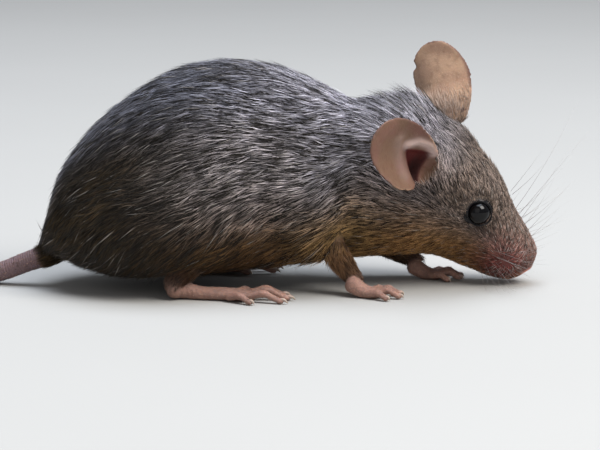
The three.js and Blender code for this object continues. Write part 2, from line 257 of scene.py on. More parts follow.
def rod(rows: Rows, kind: Kind, around: int = 20, step: float = 0.5, **fields: Any) -> Tube:
    """A rod with round ends through rows of [x, y, z, half-width, half-height].

    Args:
        rows: Its course, from its root outwards.
        kind: What it belongs to.
        around: How many points a ring has.
        step: The distance between rings.
        fields: What it says of its places. A function is given each ring's share of its length.

    Returns:
        The tube, whose hair lies along it.
    """
    rows = [[*row, row[3]][:5] for row in rows]
    course = Course(rows)
    length = np.sum(np.linalg.norm(np.diff(np.asarray(rows)[:, :3], axis=0), axis=1))
    share = np.linspace(0, 1, max(4, int(length / step)))
    line = course.at(share)
    ahead = course.ahead(share)
    flat = abs(ahead[:, 2]).mean() < 0.7
    reference = np.array([0, 0, 1.0]) if flat else np.array([1.0, 0, 0])
    aside = unit(np.cross(reference, ahead))
    above = np.cross(ahead, aside)
    turns = np.linspace(0.08, 1, 5)[:-1] * np.pi / 2
    cap = np.stack([np.cos(turns), np.sin(turns)], axis=1)

    def end(i: int, sign: int) -> np.ndarray:
        """The closing rings past an end, from the outermost inwards."""
        reach = min(line[i, 3], line[i, 4])
        centre = line[i, :3] + sign * reach * cap[:, :1] * ahead[i]
        return np.concatenate([centre, line[i, 3:] * cap[:, 1:]], axis=1)

    whole = np.concatenate([end(0, -1), line, end(-1, 1)[::-1]])
    pick = np.clip(np.arange(len(whole)) - len(cap), 0, len(line) - 1)
    angle = np.linspace(0, 2 * np.pi, around, endpoint=False)
    points = (
        whole[:, None, :3]
        + whole[:, None, 3:4] * np.cos(angle)[:, None] * aside[pick][:, None]
        + whole[:, None, 4:5] * np.sin(angle)[:, None] * above[pick][:, None]
    )
    lie = np.broadcast_to(ahead[pick][:, None], points.shape)
    known = {k: v(share[pick])[:, None] if callable(v) else v for k, v in fields.items()}
    return Tube(points, lie, kind, known)


@dataclass
class Body:
    """Trunk, neck and head, as one loft from the rump to the end of the snout.

    Attributes:
        trunk: Sections as [x, z, half-width, up, down, pitch, roll, hair].
        skull: Sections in the head's frame as [x, y, z, half-width, up, down, yaw, pitch, roll, hair].
        fullness: How square a section is, where 2 is an ellipse.
        inset: How deep the skin lies, as a share of the hair's length.
        deepest: The deepest that it lies, as a share of the way to the middle.
        least: The least half-size of a section, in mm.
        around: How many points a ring has.
        rings: How many rings it has.
        trunk_swells: Muscles and hollows as [x, y, z, height, reach], on both sides.
        head_swells: The same in the head's frame.
    """

    trunk: Rows = (
        (-26.2, 7.4, 0, 0, 0, 0, 0, 3.0),
        (-25.2, 7.8, 4.6, 3.4, 2.6, 0, 0, 3.4),
        (-22.6, 9.6, 8.5, 8.3, 5.8, 0, 0, 3.8),
        (-18.4, 11.6, 11.4, 11.8, 9.4, 0, 0, 4.1),
        (-13.0, 13.4, 13.0, 14.4, 11.8, 0, 0, 4.3),
        (-6.4, 14.4, 13.4, 16.8, 12.4, 0, 0, 4.3),
        (0.4, 14.8, 12.7, 17.4, 12.6, 0, 0, 4.2),
        (7.0, 15.0, 11.4, 16.2, 12.2, 0, 0, 4.0),
        (13.0, 15.2, 10.2, 13.6, 11.6, 4, 2, 3.7),
    )
    skull: Rows = (
        (0.6, -2.2, -4.2, 9.1, 9.6, 14.4, 1, 16, 8, 3.3),
        (6.2, -1.0, -2.4, 8.3, 8.6, 14.2, 2, 28, 17, 2.7),
        (11.8, -0.3, -1.0, 7.1, 7.7, 12.8, 3, 37, 26, 2.1),
        (17.0, 0, -0.4, 5.3, 6.1, 9.5, 3, 40.5, 30, 1.5),
        (21.6, 0, -0.8, 4.0, 4.5, 7.2, 3, 40.5, 30, 1.2),
        (25.2, 0, -1.0, 3.3, 3.3, 5.4, 3, 40.5, 30, 0.9),
        (27.8, 0, -1.2, 2.4, 2.1, 3.3, 3, 40.5, 30, 0.6),
        (29.0, 0, -1.5, 0, 0, 0, 3, 40.5, 30, 0.3),
    )
    fullness: float = 2.25
    inset: float = 0.23
    deepest: float = 0.35
    least: float = 0.02
    around: int = 112
    rings: int = 240
    trunk_swells: Rows = (
        (-10.5, 12.0, 9.5, 1.7, 5.6),  # haunch
        (-3.6, 11.2, 5.4, 0.8, 3.2),  # knee
        (12.0, 10.0, 11.0, 1.3, 4.4),  # shoulder
        (18.2, 2.9, 26.6, -1.1, 3.0),  # hollow of the neck
    )
    head_swells: Rows = (
        (9.0, 6.0, 4.6, 1.35, 2.6),  # root of the ear
        (15.8, 3.2, 4.8, 0.3, 1.9),  # brow
        (11.5, 6.6, -4.0, 0.8, 3.2),  # cheek
        (23.8, 3.0, -2.6, 0.9, 1.9),  # whisker pad
        (17.0, 5.0, 2.8, -0.8, 1.7),  # socket of the eye
        (2.8, 2.8, 3.8, 0.75, 1.9),  # crest behind the ears
    )

    def swells(self) -> list[tuple[np.ndarray, float, float]]:
        """Every swelling as its place, height and reach."""
        found = []
        for rows, placed in ((self.trunk_swells, np.array), (self.head_swells, on_head)):
            for *place, height, reach in rows:
                found += [(placed(on_side(place, side)), height, reach) for side in SIDE_NAMES]
        return found

    def course(self) -> Course:
        """Its sections as [x, y, z, yaw, pitch, roll, half-width, up, down, hair]."""
        rows = []
        for x, z, wide, up, down, pitch, roll, hair in self.trunk:
            rows.append([x, 0, z, 0, pitch, roll, wide, up, down, hair])
        for x, y, z, wide, up, down, yaw, pitch, roll, hair in self.skull:
            rows.append([*on_head([x, y, z]), yaw, pitch, roll, wide, up, down, hair])
        return Course(rows)

    def tube(self) -> Tube:
        """The skin of the body, with the lie and length of its hair."""
        share = np.linspace(0, 1, self.rings + 2)[1:-1]
        line = self.course().at(share)
        centre, turn, hair = line[:, :3], line[:, 3:6], line[:, 9]
        sizes = np.maximum(line[:, 6:9], self.least)
        angle = np.linspace(0, 2 * np.pi, self.around, endpoint=False)
        power = 2 / self.fullness
        aside = np.sign(np.cos(angle)) * abs(np.cos(angle)) ** power
        rise = np.sign(np.sin(angle)) * abs(np.sin(angle)) ** power
        high = np.where(rise > 0, sizes[:, 1:2] * rise, sizes[:, 2:3] * rise)
        flat = np.stack([0 * high, sizes[:, :1] * aside, high], axis=-1)
        points = turned(flat, turn[:, None, :]) + centre[:, None]
        outwards = unit(points - centre[:, None])
        depth = np.minimum(self.inset * hair[:, None], self.deepest * np.linalg.norm(flat, axis=-1))
        grown = -depth
        for at, height, reach in self.swells():
            grown = grown + height * bump_at(points, at, reach)
        points = points + outwards * grown[..., None]
        return Tube(points, self.lie(points, share, angle), Kind.BODY, {
            "length": hair[:, None], "share": share[:, None], "rise": np.sin(angle)[None, :],
        })

    @staticmethod
    def lie(points: np.ndarray, share: np.ndarray, angle: np.ndarray) -> np.ndarray:
        """The way the hair points: backwards, and over the flank downwards.

        Args:
            points: The rings of the body.
            share: Each ring's share of the way from rump to snout.
            angle: Each point's place around its ring.

        Returns:
            A direction for each point.
        """
        backwards = unit(-np.gradient(points, axis=0))
        around = unit(np.roll(points, -1, axis=1) - np.roll(points, 1, axis=1))
        downwards = -around * np.sign(np.cos(angle) + EMPTY)[None, :, None]
        height = np.sin(angle)[None, :]
        flank = np.sqrt(abs(np.cos(angle)))[None, :]
        behind = smoothstep(0.42, 0.22, share)[:, None]
        on_trunk = 0.14 + 0.46 * smoothstep(0.3, -0.6, height) + 0.5 * behind * smoothstep(0.45, -0.5, height)
        on_skull = 1.0 - 1.55 * smoothstep(-0.35, 0.3, height)
        headness = smoothstep(0.55, 0.72, share)[:, None]
        down = (on_trunk * (1 - headness) + on_skull * headness) * flank
        down = down * (1 - 0.6 * smoothstep(0.84, 0.95, share)[:, None])
        return unit(backwards + downwards * down[..., None])


@dataclass
class Limb:
    """A leg and its foot.

    Attributes:
        side: RIGHT or LEFT.
        rows: Its course as [x, y away from the middle, z, radius, depth of the coat].
        sole: Rows of its foot as [x, y, z, half-width, half-height].
        toes: Each toe as [from x, y, to x, y, height of the knuckle].
        shift: How far its rows are moved along X.
        splay: How far its toes turn out, in degrees.
        share: Where on the body it grows, which gives its coat's colour.
        radius: The radius of a toe.
    """

    side: int
    rows: Rows
    sole: Rows
    toes: Rows
    shift: float
    splay: float
    share: float
    radius: float = 0.55

    def leg(self) -> Tube:
        """The leg from inside the body to its ankle or wrist."""
        rows = [[x + self.shift, self.side * y, z, r - depth] for x, y, z, r, depth in self.rows]
        return rod(
            rows, Kind.LEG, 28, 0.4, share=self.share, rise=-0.45,
            length=lambda s: 3.2 * (1 - s) ** 1.1 + 0.4,
            bare=lambda s: 0.9 * smoothstep(0.5, 0.95, s),
        )

    def placed(self, rows: Rows) -> np.ndarray:
        """Rows of the foot's own frame, whose toes point along X, where the foot stands."""
        rows = np.array(rows, float)
        splay = np.radians(self.side * self.splay)
        x, y = rows[:, 0], rows[:, 1] * self.side
        ankle_x, ankle_y = self.rows[-1][:2]
        rows[:, 0] = x * np.cos(splay) - y * np.sin(splay) + ankle_x + self.shift
        rows[:, 1] = x * np.sin(splay) + y * np.cos(splay) + self.side * ankle_y
        return rows

    def toe_line(self, toe: Sequence[float]) -> Callable[[float, float], list[float]]:
        """A function from a share of a toe's length and a height to a point on it."""
        from_x, from_y, to_x, to_y, _ = toe

        def point(share: float, z: float) -> list[float]:
            """A point of the toe."""
            return [from_x + share * (to_x - from_x), from_y + share * (to_y - from_y), z]

        return point

    def foot(self) -> list[Tube]:
        """The sole, its pads and its toes."""
        said = {"length": 0.42, "share": self.share, "rise": -0.5, "bare": 1.0}
        tubes = [rod(self.placed(self.sole), Kind.FOOT, 24, 0.3, **said)]
        r = self.radius
        for toe in self.toes:
            point, knuckle = self.toe_line(toe), toe[4]
            rows = [
                [*point(0, 0.7), 1.1 * r, r],
                [*point(0.24, 0.5 * (0.75 + knuckle)), 0.98 * r, 0.92 * r],
                [*point(0.44, knuckle), 0.98 * r, 0.95 * r],
                [*point(0.64, 0.55 * knuckle + 0.15), 0.88 * r, 0.8 * r],
                [*point(0.82, 0.46), 0.98 * r, 0.78 * r],
                [*point(0.88, 0.42), 0.8 * r, 0.66 * r],
            ]
            tubes.append(rod(self.placed(rows), Kind.FOOT, 16, 0.25, **said))
        return tubes

    def claws(self) -> list[np.ndarray]:
        """Each claw's rows, from its root in the toe to its tip."""
        found = []
        for toe in self.toes:
            point = self.toe_line(toe)
            rows = [
                [*point(0.80, 0.52), 0.3],
                [*point(0.90, 0.66), 0.25],
                [*point(0.97, 0.52), 0.17],
                [*point(1.02, 0.22), 0.05],
            ]
            found.append(self.placed(rows))
        return found


SHANK = ((-8.0, 8.0, 9.4, 4.6, 1.4), (-4.6, 8.8, 6.6, 3.9, 1.7), (-6.0, 9.5, 4.6, 2.7, 1.1),
         (-7.4, 9.8, 2.6, 1.5, 0.15), (-7.5, 9.8, 1.5, 1.35, 0.05))
STANDING_ARM = ((12.6, 5.2, 12.0, 3.0, 0.9), (13.9, 6.3, 7.6, 2.4, 0.7), (15.3, 7.0, 4.9, 1.75, 0.35),
                (16.9, 7.0, 2.6, 1.2, 0.1), (17.0, 7.0, 1.6, 1.15, 0.05))
REACHING_ARM = ((13.4, 4.8, 11.4, 3.2, 0.9), (16.8, 6.2, 7.0, 2.5, 0.7), (21.6, 6.8, 4.4, 1.6, 0.35),
                (26.0, 6.8, 2.4, 1.15, 0.1), (26.1, 6.8, 1.6, 1.1, 0.05))
HIND_SOLE = ((0.2, 0, 1.6, 1.2, 1.45), (3.2, 0.1, 0.95, 1.15, 0.95), (7.0, 0.2, 0.85, 1.55, 0.85),
             (9.6, 0.3, 0.7, 1.95, 0.7))
HIND_TOES = ((7.8, -1.3, 11.4, -3.1, 1.1), (9.8, -1.2, 15.6, -2.2, 1.35), (10.0, 0.2, 16.4, 0.3, 1.45),
             (9.8, 1.5, 15.6, 2.7, 1.35), (7.6, 1.7, 11.2, 4.0, 1.1))
FORE_SOLE = ((-0.2, 0, 1.8, 1.0, 1.25), (1.4, 0.05, 0.9, 1.2, 1.0), (3.0, 0.1, 0.62, 1.4, 0.72))
FORE_TOES = ((2.2, -1.0, 5.0, -2.7, 1.05), (3.0, -0.5, 6.8, -1.0, 1.25), (3.0, 0.6, 6.8, 1.1, 1.25),
             (2.2, 1.2, 5.0, 2.9, 1.05))
LIMBS = (
    Limb(RIGHT, SHANK, HIND_SOLE, HIND_TOES, 0, 5, 0.27),
    Limb(LEFT, SHANK, HIND_SOLE, HIND_TOES, -1.6, 9, 0.27),
    Limb(RIGHT, STANDING_ARM, FORE_SOLE, FORE_TOES, 0, 4, 0.52),
    Limb(LEFT, REACHING_ARM, FORE_SOLE, FORE_TOES, 0, -4, 0.52),
)


@dataclass
class Ear:
    """A cupped pinna from its root in the head.

    Attributes:
        side: RIGHT or LEFT.
        tip: The way it stands.
        face: The way its open side looks.
        stem: How wide it is at its root.
        lobed: Whether it widens at once into a round lobe, or little by little.
        nick: Where its rim is torn, as its place across and along, or None.
        nick_reach: How far the tear goes across and along.
        nick_depth: How deep it cuts, as a share of the half-width.
        opening: How soon it reaches its full width above its root.
        root: Its root in the head's frame, with Y away from the middle.
        length: Its length.
        width: Its greatest width.
        thick: The thickness of its blade.
        root_thick: How thick it is behind its middle surface at its root.
        depth: How deep it is cupped.
        widest: Where along it it is widest.
        taper: Where along it the thickness of the blade begins.
        rings: How many rings its skin has.
        around: How many points a ring has.
        mouth: The corners of the canal's mouth, as mm across and along, clockwise.
    """

    side: int
    tip: Sequence[float]
    face: Sequence[float]
    stem: float = 2.7
    lobed: bool = True
    nick: tuple[float, float] | None = None
    nick_reach: tuple[float, float] = (0.5, 0.035)
    nick_depth: float = 0.16
    opening: float = 15.0
    root: Triple = (7.6, 6.75, 3.0)
    length: float = 12.8
    width: float = 9.2
    thick: float = 0.45
    root_thick: float = 2.2
    depth: float = 2.4
    widest: float = 0.56
    taper: float = 0.5
    rings: int = 64
    around: int = 72
    mouth: tuple[tuple[float, float], ...] = ((1.2, 6.0), (3.3, 2.3), (-2.2, 0.1))

    def axes(self) -> tuple[np.ndarray, np.ndarray, np.ndarray]:
        """The directions along it, across it and out of its open side."""
        along = unit(np.array(self.tip, float))
        face = np.array(self.face, float)
        out = unit(face - along * (face @ along))
        return along, np.cross(along, out), out

    def root_at(self) -> np.ndarray:
        """Its root in the maker's frame."""
        return on_head(on_side(self.root, self.side))

    def half_width(self, share: np.ndarray) -> np.ndarray:
        """Its half-width at shares of its length."""
        above = np.sqrt(np.maximum(1 - ((share - self.widest) / (1 - self.widest)) ** 2, 0))
        below = np.minimum(np.maximum(share, 0) / self.widest, 1)
        below = np.where(self.lobed, np.sqrt(1 - (1 - below) ** 2), np.sin(np.pi / 2 * below))
        low = self.stem / 2
        return np.where(share > self.widest, self.width / 2 * above, low + (self.width / 2 - low) * below)

    def narrowing(self, share: np.ndarray, across: np.ndarray) -> np.ndarray:
        """How much a lobed ear draws in on its lower side, most near its root."""
        drawn = 0.07 + 0.2 * smoothstep(0.34, 0.0, share)
        return self.lobed * smoothstep(0.1, -0.1, across) * drawn

    def backing(self, share: np.ndarray) -> np.ndarray:
        """How thick it is behind its middle surface, at shares of its length."""
        return self.root_thick + (self.thick / 2 - self.root_thick) * np.clip(share / self.taper, 0, 1)

    def place(self, share: np.ndarray, across: np.ndarray, offset: np.ndarray) -> np.ndarray:
        """Points of the pinna.

        Args:
            share: How far along it, from 0 at its root to 1.
            across: How far across it, from -1 to 1.
            offset: How far in front of its middle surface, in mm.

        Returns:
            The points in the maker's frame.
        """
        along, aside, out = self.axes()
        bowl = self.depth * (0.5 - across**2) * np.sin(np.pi * np.minimum(1, share + 0.15))
        wide = self.half_width(share) * across * (1 - self.narrowing(share, across))
        middle = self.root_at() + share[..., None] * self.length * along
        return middle + wide[..., None] * aside + (offset - bowl)[..., None] * out

    def tube(self) -> Tube:
        """The pinna's skin: its back follows the solid, and its front is scooped."""
        v = np.linspace(0.02, 0.995, self.rings)[:, None]
        angle = np.linspace(0, 2 * np.pi, self.around, endpoint=False)[None, :]
        share = np.sin(np.pi / 2 * v) + 0 * angle
        across, through = np.cos(angle) + 0 * v, -np.sin(angle) + 0 * v
        closing = np.sqrt(np.minimum(1, np.minimum(6 * v, 6 * (1 - v))))
        half = np.where(through > 0, self.thick / 2, self.backing(share)) * closing
        rim = 1 + 0.5 * abs(across) ** 6
        offset = half * np.sign(through) * np.sqrt(abs(through)) * rim
        shrink = np.minimum(1, self.opening * v)
        if self.nick:
            beside = (across - self.nick[0]) / self.nick_reach[0]
            above = (share - self.nick[1]) / self.nick_reach[1]
            shrink = shrink * (1 - self.nick_depth * np.exp(-(beside**2 + above**2)))
        points = self.place(share, across * shrink, offset)
        lie = np.broadcast_to(self.axes()[0], points.shape)
        behind = 1 - smoothstep(-0.1, 0.1, through)
        length = 1.7 * behind * smoothstep(0.62, 0.1, share) + 0.3 * behind
        return Tube(points, lie, Kind.EAR, {
            "length": length, "share": 0.68, "rise": 0.6,
            "inner": smoothstep(0.0, 0.35, through), "along": share,
            "edge": np.maximum(abs(across), smoothstep(0.86, 1.0, share)) * smoothstep(0.25, 0.45, share),
        })

    def spot(self, share: float, across: float, offset: float = 0.0) -> np.ndarray:
        """One point of the pinna."""
        return self.place(np.array(share), np.array(across), np.array(offset))

    def flat(self, points: np.ndarray) -> tuple[np.ndarray, np.ndarray, np.ndarray]:
        """Points as their share along, their place across and their height over the middle surface."""
        along, aside, out = self.axes()
        away = points - self.root_at()
        share = away @ along / self.length
        across = away @ aside / self.half_width(np.clip(share, 0, 0.97))
        across = across / (1 - self.narrowing(share, across))
        bowl = self.depth * (0.5 - np.minimum(across**2, 1)) * np.sin(np.pi * np.clip(share + 0.15, 0, 1))
        return share, across, away @ out + bowl

    def dish(self, points: np.ndarray) -> np.ndarray:
        """1 inside the bowl of the ear on its open side, and 0 elsewhere."""
        share, across, high = self.flat(points)
        inside = smoothstep(1.0, 0.86, abs(across)) * smoothstep(-0.06, 0.01, share) * (share < 0.95)
        return inside * smoothstep(-0.1, 0.1, high) * (high < 5)

    def canal(self, points: np.ndarray) -> np.ndarray:
        """How far points are inside the three-cornered mouth of the canal, in mm."""
        along, aside, _ = self.axes()
        away = points - self.root_at()
        x, y = -self.side * (away @ aside), away @ along
        inside = np.full(len(points), np.inf)
        for (x0, y0), (x1, y1) in zip(self.mouth, self.mouth[1:] + self.mouth[:1]):
            reach = ((x1 - x0) * (y - y0) - (y1 - y0) * (x - x0)) / np.hypot(x1 - x0, y1 - y0)
            inside = np.minimum(inside, -reach)
        return inside

    def ridge_path(self) -> list[np.ndarray]:
        """The low ridge that runs down beside the canal's mouth."""
        steps = ((0.62, 0.3), (0.45, -0.05), (0.25, -0.45))
        return [self.spot(share, across, 0.2) for share, across in steps]

    def fold_path(self) -> list[np.ndarray]:
        """The pale fold that arches over the canal's mouth."""
        steps = ((0.47, 0.36), (0.41, 0.66), (0.3, 0.82), (0.17, 0.86))
        return [self.spot(share, across, 0.2) for share, across in steps]


EARS = (
    Ear(RIGHT, (-0.57, -0.6, 0.62), (0.5, -0.86, -0.1)),
    Ear(LEFT, (-0.18, 0.16, 0.98), (0.5, 0.85, 0.0), stem=4.2, lobed=False, nick=(1.0, 0.76), opening=30.0),
)


@dataclass
class Eye:
    """An eyeball and the lids round it.

    Attributes:
        side: RIGHT or LEFT.
        at: Its middle in the head's frame, with Y away from the middle.
        look: The way it looks, in the same frame.
        radius: The eyeball's radius.
        lid_radius: The radius of the ring that the lids make.
        lid_thick: The radius of the lids themselves.
        lid_out: How far the ring lies out from the eyeball's middle.
        cornea: How far the cornea stands out, as a share of the eyeball's radius.
    """

    side: int
    at: Triple = (16.7, 3.95, 2.5)
    look: Triple = (0.12, 0.84, 0.5)
    radius: float = 1.75
    lid_radius: float = 1.7
    lid_thick: float = 0.22
    lid_out: float = 0.86
    cornea: float = 0.05

    def centre(self) -> np.ndarray:
        """The middle of the eyeball."""
        return on_head(on_side(self.at, self.side))

    def axis(self) -> np.ndarray:
        """The way it looks, in the maker's frame."""
        return unit(on_head(on_side(self.look, self.side)) - OCCIPUT)

    def lids(self) -> Tube:
        """The ring of the lids, a little longer than high, with a point at each corner."""
        forwards = unit(HEAD_AXES[0] - self.axis() * (HEAD_AXES[0] @ self.axis()))
        upwards = np.cross(self.axis(), forwards)
        turn = np.linspace(0, 2 * np.pi, 72, endpoint=False)[:, None, None]
        angle = np.linspace(0, 2 * np.pi, 16, endpoint=False)[None, :, None]
        corner = 1 + 0.09 * abs(np.cos(turn)) ** 8
        radial = np.cos(turn) * forwards + np.sin(turn) * upwards
        reach = self.lid_radius * corner + self.lid_thick * np.cos(angle)
        out = self.lid_out + self.lid_thick * np.sin(angle)
        points = self.centre() + reach * radial + out * self.axis()
        outside = smoothstep(-0.2, 0.7, np.cos(angle[..., 0]))
        return Tube(points, np.broadcast_to(radial, points.shape), Kind.LID, {
            "share": 0.75, "rise": 0.3, "dark": 1 - outside, "length": 0.9 * outside,
        })

    def build(self, shop: Workshop, material: bpy.types.Material) -> None:
        """The eyeball, with a slightly raised cornea."""
        bpy.ops.object.select_all(action="DESELECT")
        bpy.ops.mesh.primitive_uv_sphere_add(segments=64, ring_count=40, radius=self.radius)
        obj = bpy.context.object
        obj.name = obj.data.name = f"eyeball_{SIDE_NAMES[self.side]}"
        points = shop.points_of(obj)
        facing = unit(points) @ self.axis()
        points = points * (1 + self.cornea * smoothstep(0.35, 1.0, facing))[:, None] + self.centre()
        shop.move(obj, points)
        shop.finish(obj, material, "eye", f"eye_{SIDE_NAMES[self.side]}")


EYES = (Eye(RIGHT), Eye(LEFT))


@dataclass
class Tail:
    """The tail, from inside the rump to its tip on the floor.

    Attributes:
        course: Its places as [x, y, z], or as [x, y] where it lies on the floor.
        root_radius: Its radius at its root.
        tip_radius: Its radius at its tip.
        sink: How high its middle lies over the floor, as a share of its radius.
    """

    course: Rows = ((-22, 0, 6.0), (-28.2, 0.3, 3.6), (-35.5, 1.8), (-47, 6.4), (-58, 13.6), (-67.5, 23),
                    (-75, 34), (-81.5, 45.5))
    root_radius: float = 1.56
    tip_radius: float = 0.42
    sink: float = 0.9

    def tube(self) -> Tube:
        """The tail's skin."""
        rows = []
        for i, (x, y, *height) in enumerate(self.course):
            share = i / (len(self.course) - 1)
            radius = self.root_radius + (self.tip_radius - self.root_radius) * share**1.15
            rows.append([x, y, *(height or [self.sink * radius]), radius])
        return rod(
            rows, Kind.TAIL, 24, 0.4, share=0.02, rise=0.2, along=lambda s: s,
            length=lambda s: 0.5 + 1.4 * smoothstep(0.125, 0.07, s),
            bare=lambda s: smoothstep(0.08, 0.125, s),
        )


# ---- meshes -------------------------------------------------------------------------------------


@dataclass
class Workshop:
    """Makes, shapes and finishes meshes. Its offset moves the maker's frame to the row's."""

    offset: np.ndarray

    def select(self, obj: bpy.types.Object) -> None:
        """Makes an object the only selected one, and the active one."""
        bpy.ops.object.select_all(action="DESELECT")
        obj.select_set(True)
        bpy.context.view_layer.objects.active = obj

    def apply(self, obj: bpy.types.Object, kind: str, **settings: Any) -> None:
        """Adds a modifier with its settings and applies it."""
        self.select(obj)
        modifier = obj.modifiers.new(kind.lower(), kind)
        for name, value in settings.items():
            setattr(modifier, name, value)
        bpy.ops.object.modifier_apply(modifier=modifier.name)

    def object_of(self, name: str, points: np.ndarray, faces: Any) -> bpy.types.Object:
        """An object in the scene with a mesh of points and faces."""
        mesh = bpy.data.meshes.new(name)
        if isinstance(faces, np.ndarray):
            self.fill(mesh, points, faces)
        else:
            mesh.from_pydata(points.tolist(), [], faces)
        obj = bpy.data.objects.new(name, mesh)
        bpy.context.scene.collection.objects.link(obj)
        return obj

    @staticmethod
    def fill(mesh: bpy.types.Mesh, points: np.ndarray, faces: np.ndarray) -> None:
        """Gives a mesh its points and faces, all of one number of corners."""
        count, corners = faces.shape
        mesh.vertices.add(len(points))
        mesh.vertices.foreach_set("co", points.astype(np.float32).ravel())
        mesh.loops.add(count * corners)
        mesh.loops.foreach_set("vertex_index", faces.astype(np.int32).ravel())
        mesh.polygons.add(count)
        mesh.polygons.foreach_set("loop_start", np.arange(0, count * corners, corners, dtype=np.int32))
        mesh.update(calc_edges=True)

    @staticmethod
    def points_of(obj: bpy.types.Object) -> np.ndarray:
        """The points of an object's mesh."""
        return read(obj.data.vertices, "co", 3).astype(float)

    @staticmethod
    def normals_of(obj: bpy.types.Object) -> np.ndarray:
        """The normals at the points of an object's mesh."""
        return read(obj.data.vertices, "normal", 3).astype(float)

    @staticmethod
    def move(obj: bpy.types.Object, points: np.ndarray) -> None:
        """Gives an object's mesh new places for its points."""
        obj.data.vertices.foreach_set("co", points.astype(np.float32).ravel())
        obj.data.update()

    @staticmethod
    def note(obj: bpy.types.Object, name: str, values: np.ndarray) -> None:
        """Writes an attribute with one number, or three, for each point."""
        wide = values.ndim > 1
        attribute = obj.data.attributes.new(name, "FLOAT_VECTOR" if wide else "FLOAT", "POINT")
        attribute.data.foreach_set("vector" if wide else "value", values.astype(np.float32).ravel())

    def finish(self, obj: bpy.types.Object, material: bpy.types.Material, slot: str, *nodes: str) -> None:
        """Moves a made mesh to the row's frame, gives it its finish and hides the solids that it replaces.

        Args:
            obj: The piece, in the maker's frame.
            material: Its finish.
            slot: The record's material slot. Not used.
            nodes: The solids that it replaces.
        """
        self.move(obj, (self.points_of(obj) + self.offset) * MM)
        self.select(obj)
        bpy.ops.object.shade_smooth()
        obj.data.materials.clear()
        obj.data.materials.append(material)
        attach(obj, "root")
        if nodes:
            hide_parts(*nodes)
        log.info("%s: %d triangles", obj.name, sum(len(p.vertices) - 2 for p in obj.data.polygons))


# ---- shading ------------------------------------------------------------------------------------


class Graph:
    """The nodes of one material, on a Principled shader."""

    def __init__(self, name: str, **constants: Any) -> None:
        """Starts a material whose shader has these constant values, by socket name."""
        self.material = bpy.data.materials.new(name)
        self.material.use_nodes = True
        self.nodes = self.material.node_tree.nodes
        self.links = self.material.node_tree.links
        self.shader = next(n for n in self.nodes if n.type == "BSDF_PRINCIPLED")
        for socket, value in constants.items():
            self.shader.inputs[socket.replace("_", " ")].default_value = value

    def node(self, kind: str, settings: dict[str, Any], inputs: dict[Any, Any], out: Any = 0) -> Value:
        """Adds any node.

        Args:
            kind: The node's type, without its prefix.
            settings: What it is set to first. "stops" are a ramp's places and colours.
            inputs: The values or links of its sockets, by name or number.
            out: The name or number of the output to return.

        Returns:
            That output.
        """
        node = self.nodes.new("ShaderNode" + kind)
        for name, value in settings.items():
            if name == "stops":
                self.set_stops(node.color_ramp, value)
            else:
                setattr(node, name, value)
        for socket, value in inputs.items():
            self.feed(node.inputs[socket], value)
        return Value(self, node.outputs[out])

    @staticmethod
    def set_stops(ramp: bpy.types.ColorRamp, stops: Sequence[tuple[float, Sequence[float]]]) -> None:
        """Gives a ramp its places and colours."""
        while len(ramp.elements) < len(stops):
            ramp.elements.new(0.5)
        for element, (place, colour) in zip(ramp.elements, stops):
            element.position = place
            element.color = (*colour, 1.0)

    def feed(self, socket: bpy.types.NodeSocket, value: Any) -> None:
        """Links or sets a socket."""
        if isinstance(value, Value):
            self.links.new(value.socket, socket)
        elif isinstance(value, (tuple, list)) and socket.type == "RGBA":
            socket.default_value = (*value, 1.0)
        else:
            socket.default_value = value

    def attribute(self, name: str, out: str = "Fac") -> Value:
        """An attribute of the piece: its Fac, Color or Vector."""
        return self.node("Attribute", {"attribute_name": name}, {}, out)

    def place(self) -> Value:
        """The place of the shaded point, in the row's frame."""
        return self.node("TexCoord", {}, {}, "Object")

    def noise(self, scale: float, detail: float = 2.0) -> Value:
        """Smooth noise between 0 and 1, with this many waves in a metre."""
        return self.node("TexNoise", {}, {"Vector": self.place(), "Scale": scale, "Detail": detail})

    def mix(self, share: Any, a: Any, b: Any, how: str = "MIX") -> Value:
        """A mix of two colours by a share."""
        settings = {"data_type": "RGBA", "blend_type": how, "clamp_factor": True}
        return self.node("Mix", settings, {0: share, 6: a, 7: b}, 2)

    def bump(self, height: Value, distance: float, strength: float = 1.0) -> None:
        """Raises the surface by a height between 0 and 1 times a distance in metres."""
        inputs = {"Height": height, "Distance": distance, "Strength": strength}
        self.set("Normal", self.node("Bump", {}, inputs))

    def set(self, socket: str, value: Any) -> None:
        """Feeds a socket of the shader."""
        self.feed(self.shader.inputs[socket], value)


class Value:
    """A node's output, on which Python's operators add Math nodes."""

    def __init__(self, graph: Graph, socket: bpy.types.NodeSocket) -> None:
        """Wraps an output of a graph's node."""
        self.graph = graph
        self.socket = socket

    def maths(self, operation: str, *operands: Any, clamp: bool = False) -> Value:
        """A Math node on operands."""
        settings = {"operation": operation, "use_clamp": clamp}
        return self.graph.node("Math", settings, dict(enumerate(operands)))

    def __add__(self, other: Any) -> Value:
        """The sum."""
        return self.maths("ADD", self, other)

    def __sub__(self, other: Any) -> Value:
        """The difference."""
        return self.maths("SUBTRACT", self, other)

    def __rsub__(self, other: Any) -> Value:
        """The difference from a number."""
        return self.maths("SUBTRACT", other, self)

    def __mul__(self, other: Any) -> Value:
        """The product."""
        return self.maths("MULTIPLY", self, other)

    def __pow__(self, other: Any) -> Value:
        """The power."""
        return self.maths("POWER", self, other)

    __radd__ = __add__
    __rmul__ = __mul__

    def sine(self) -> Value:
        """The sine."""
        return self.maths("SINE", self)

    def spread(self, low: float, high: float) -> Value:
        """Itself from low to high as 0 to 1, clamped."""
        return self.maths("MULTIPLY_ADD", self, 1 / (high - low), -low / (high - low), clamp=True)


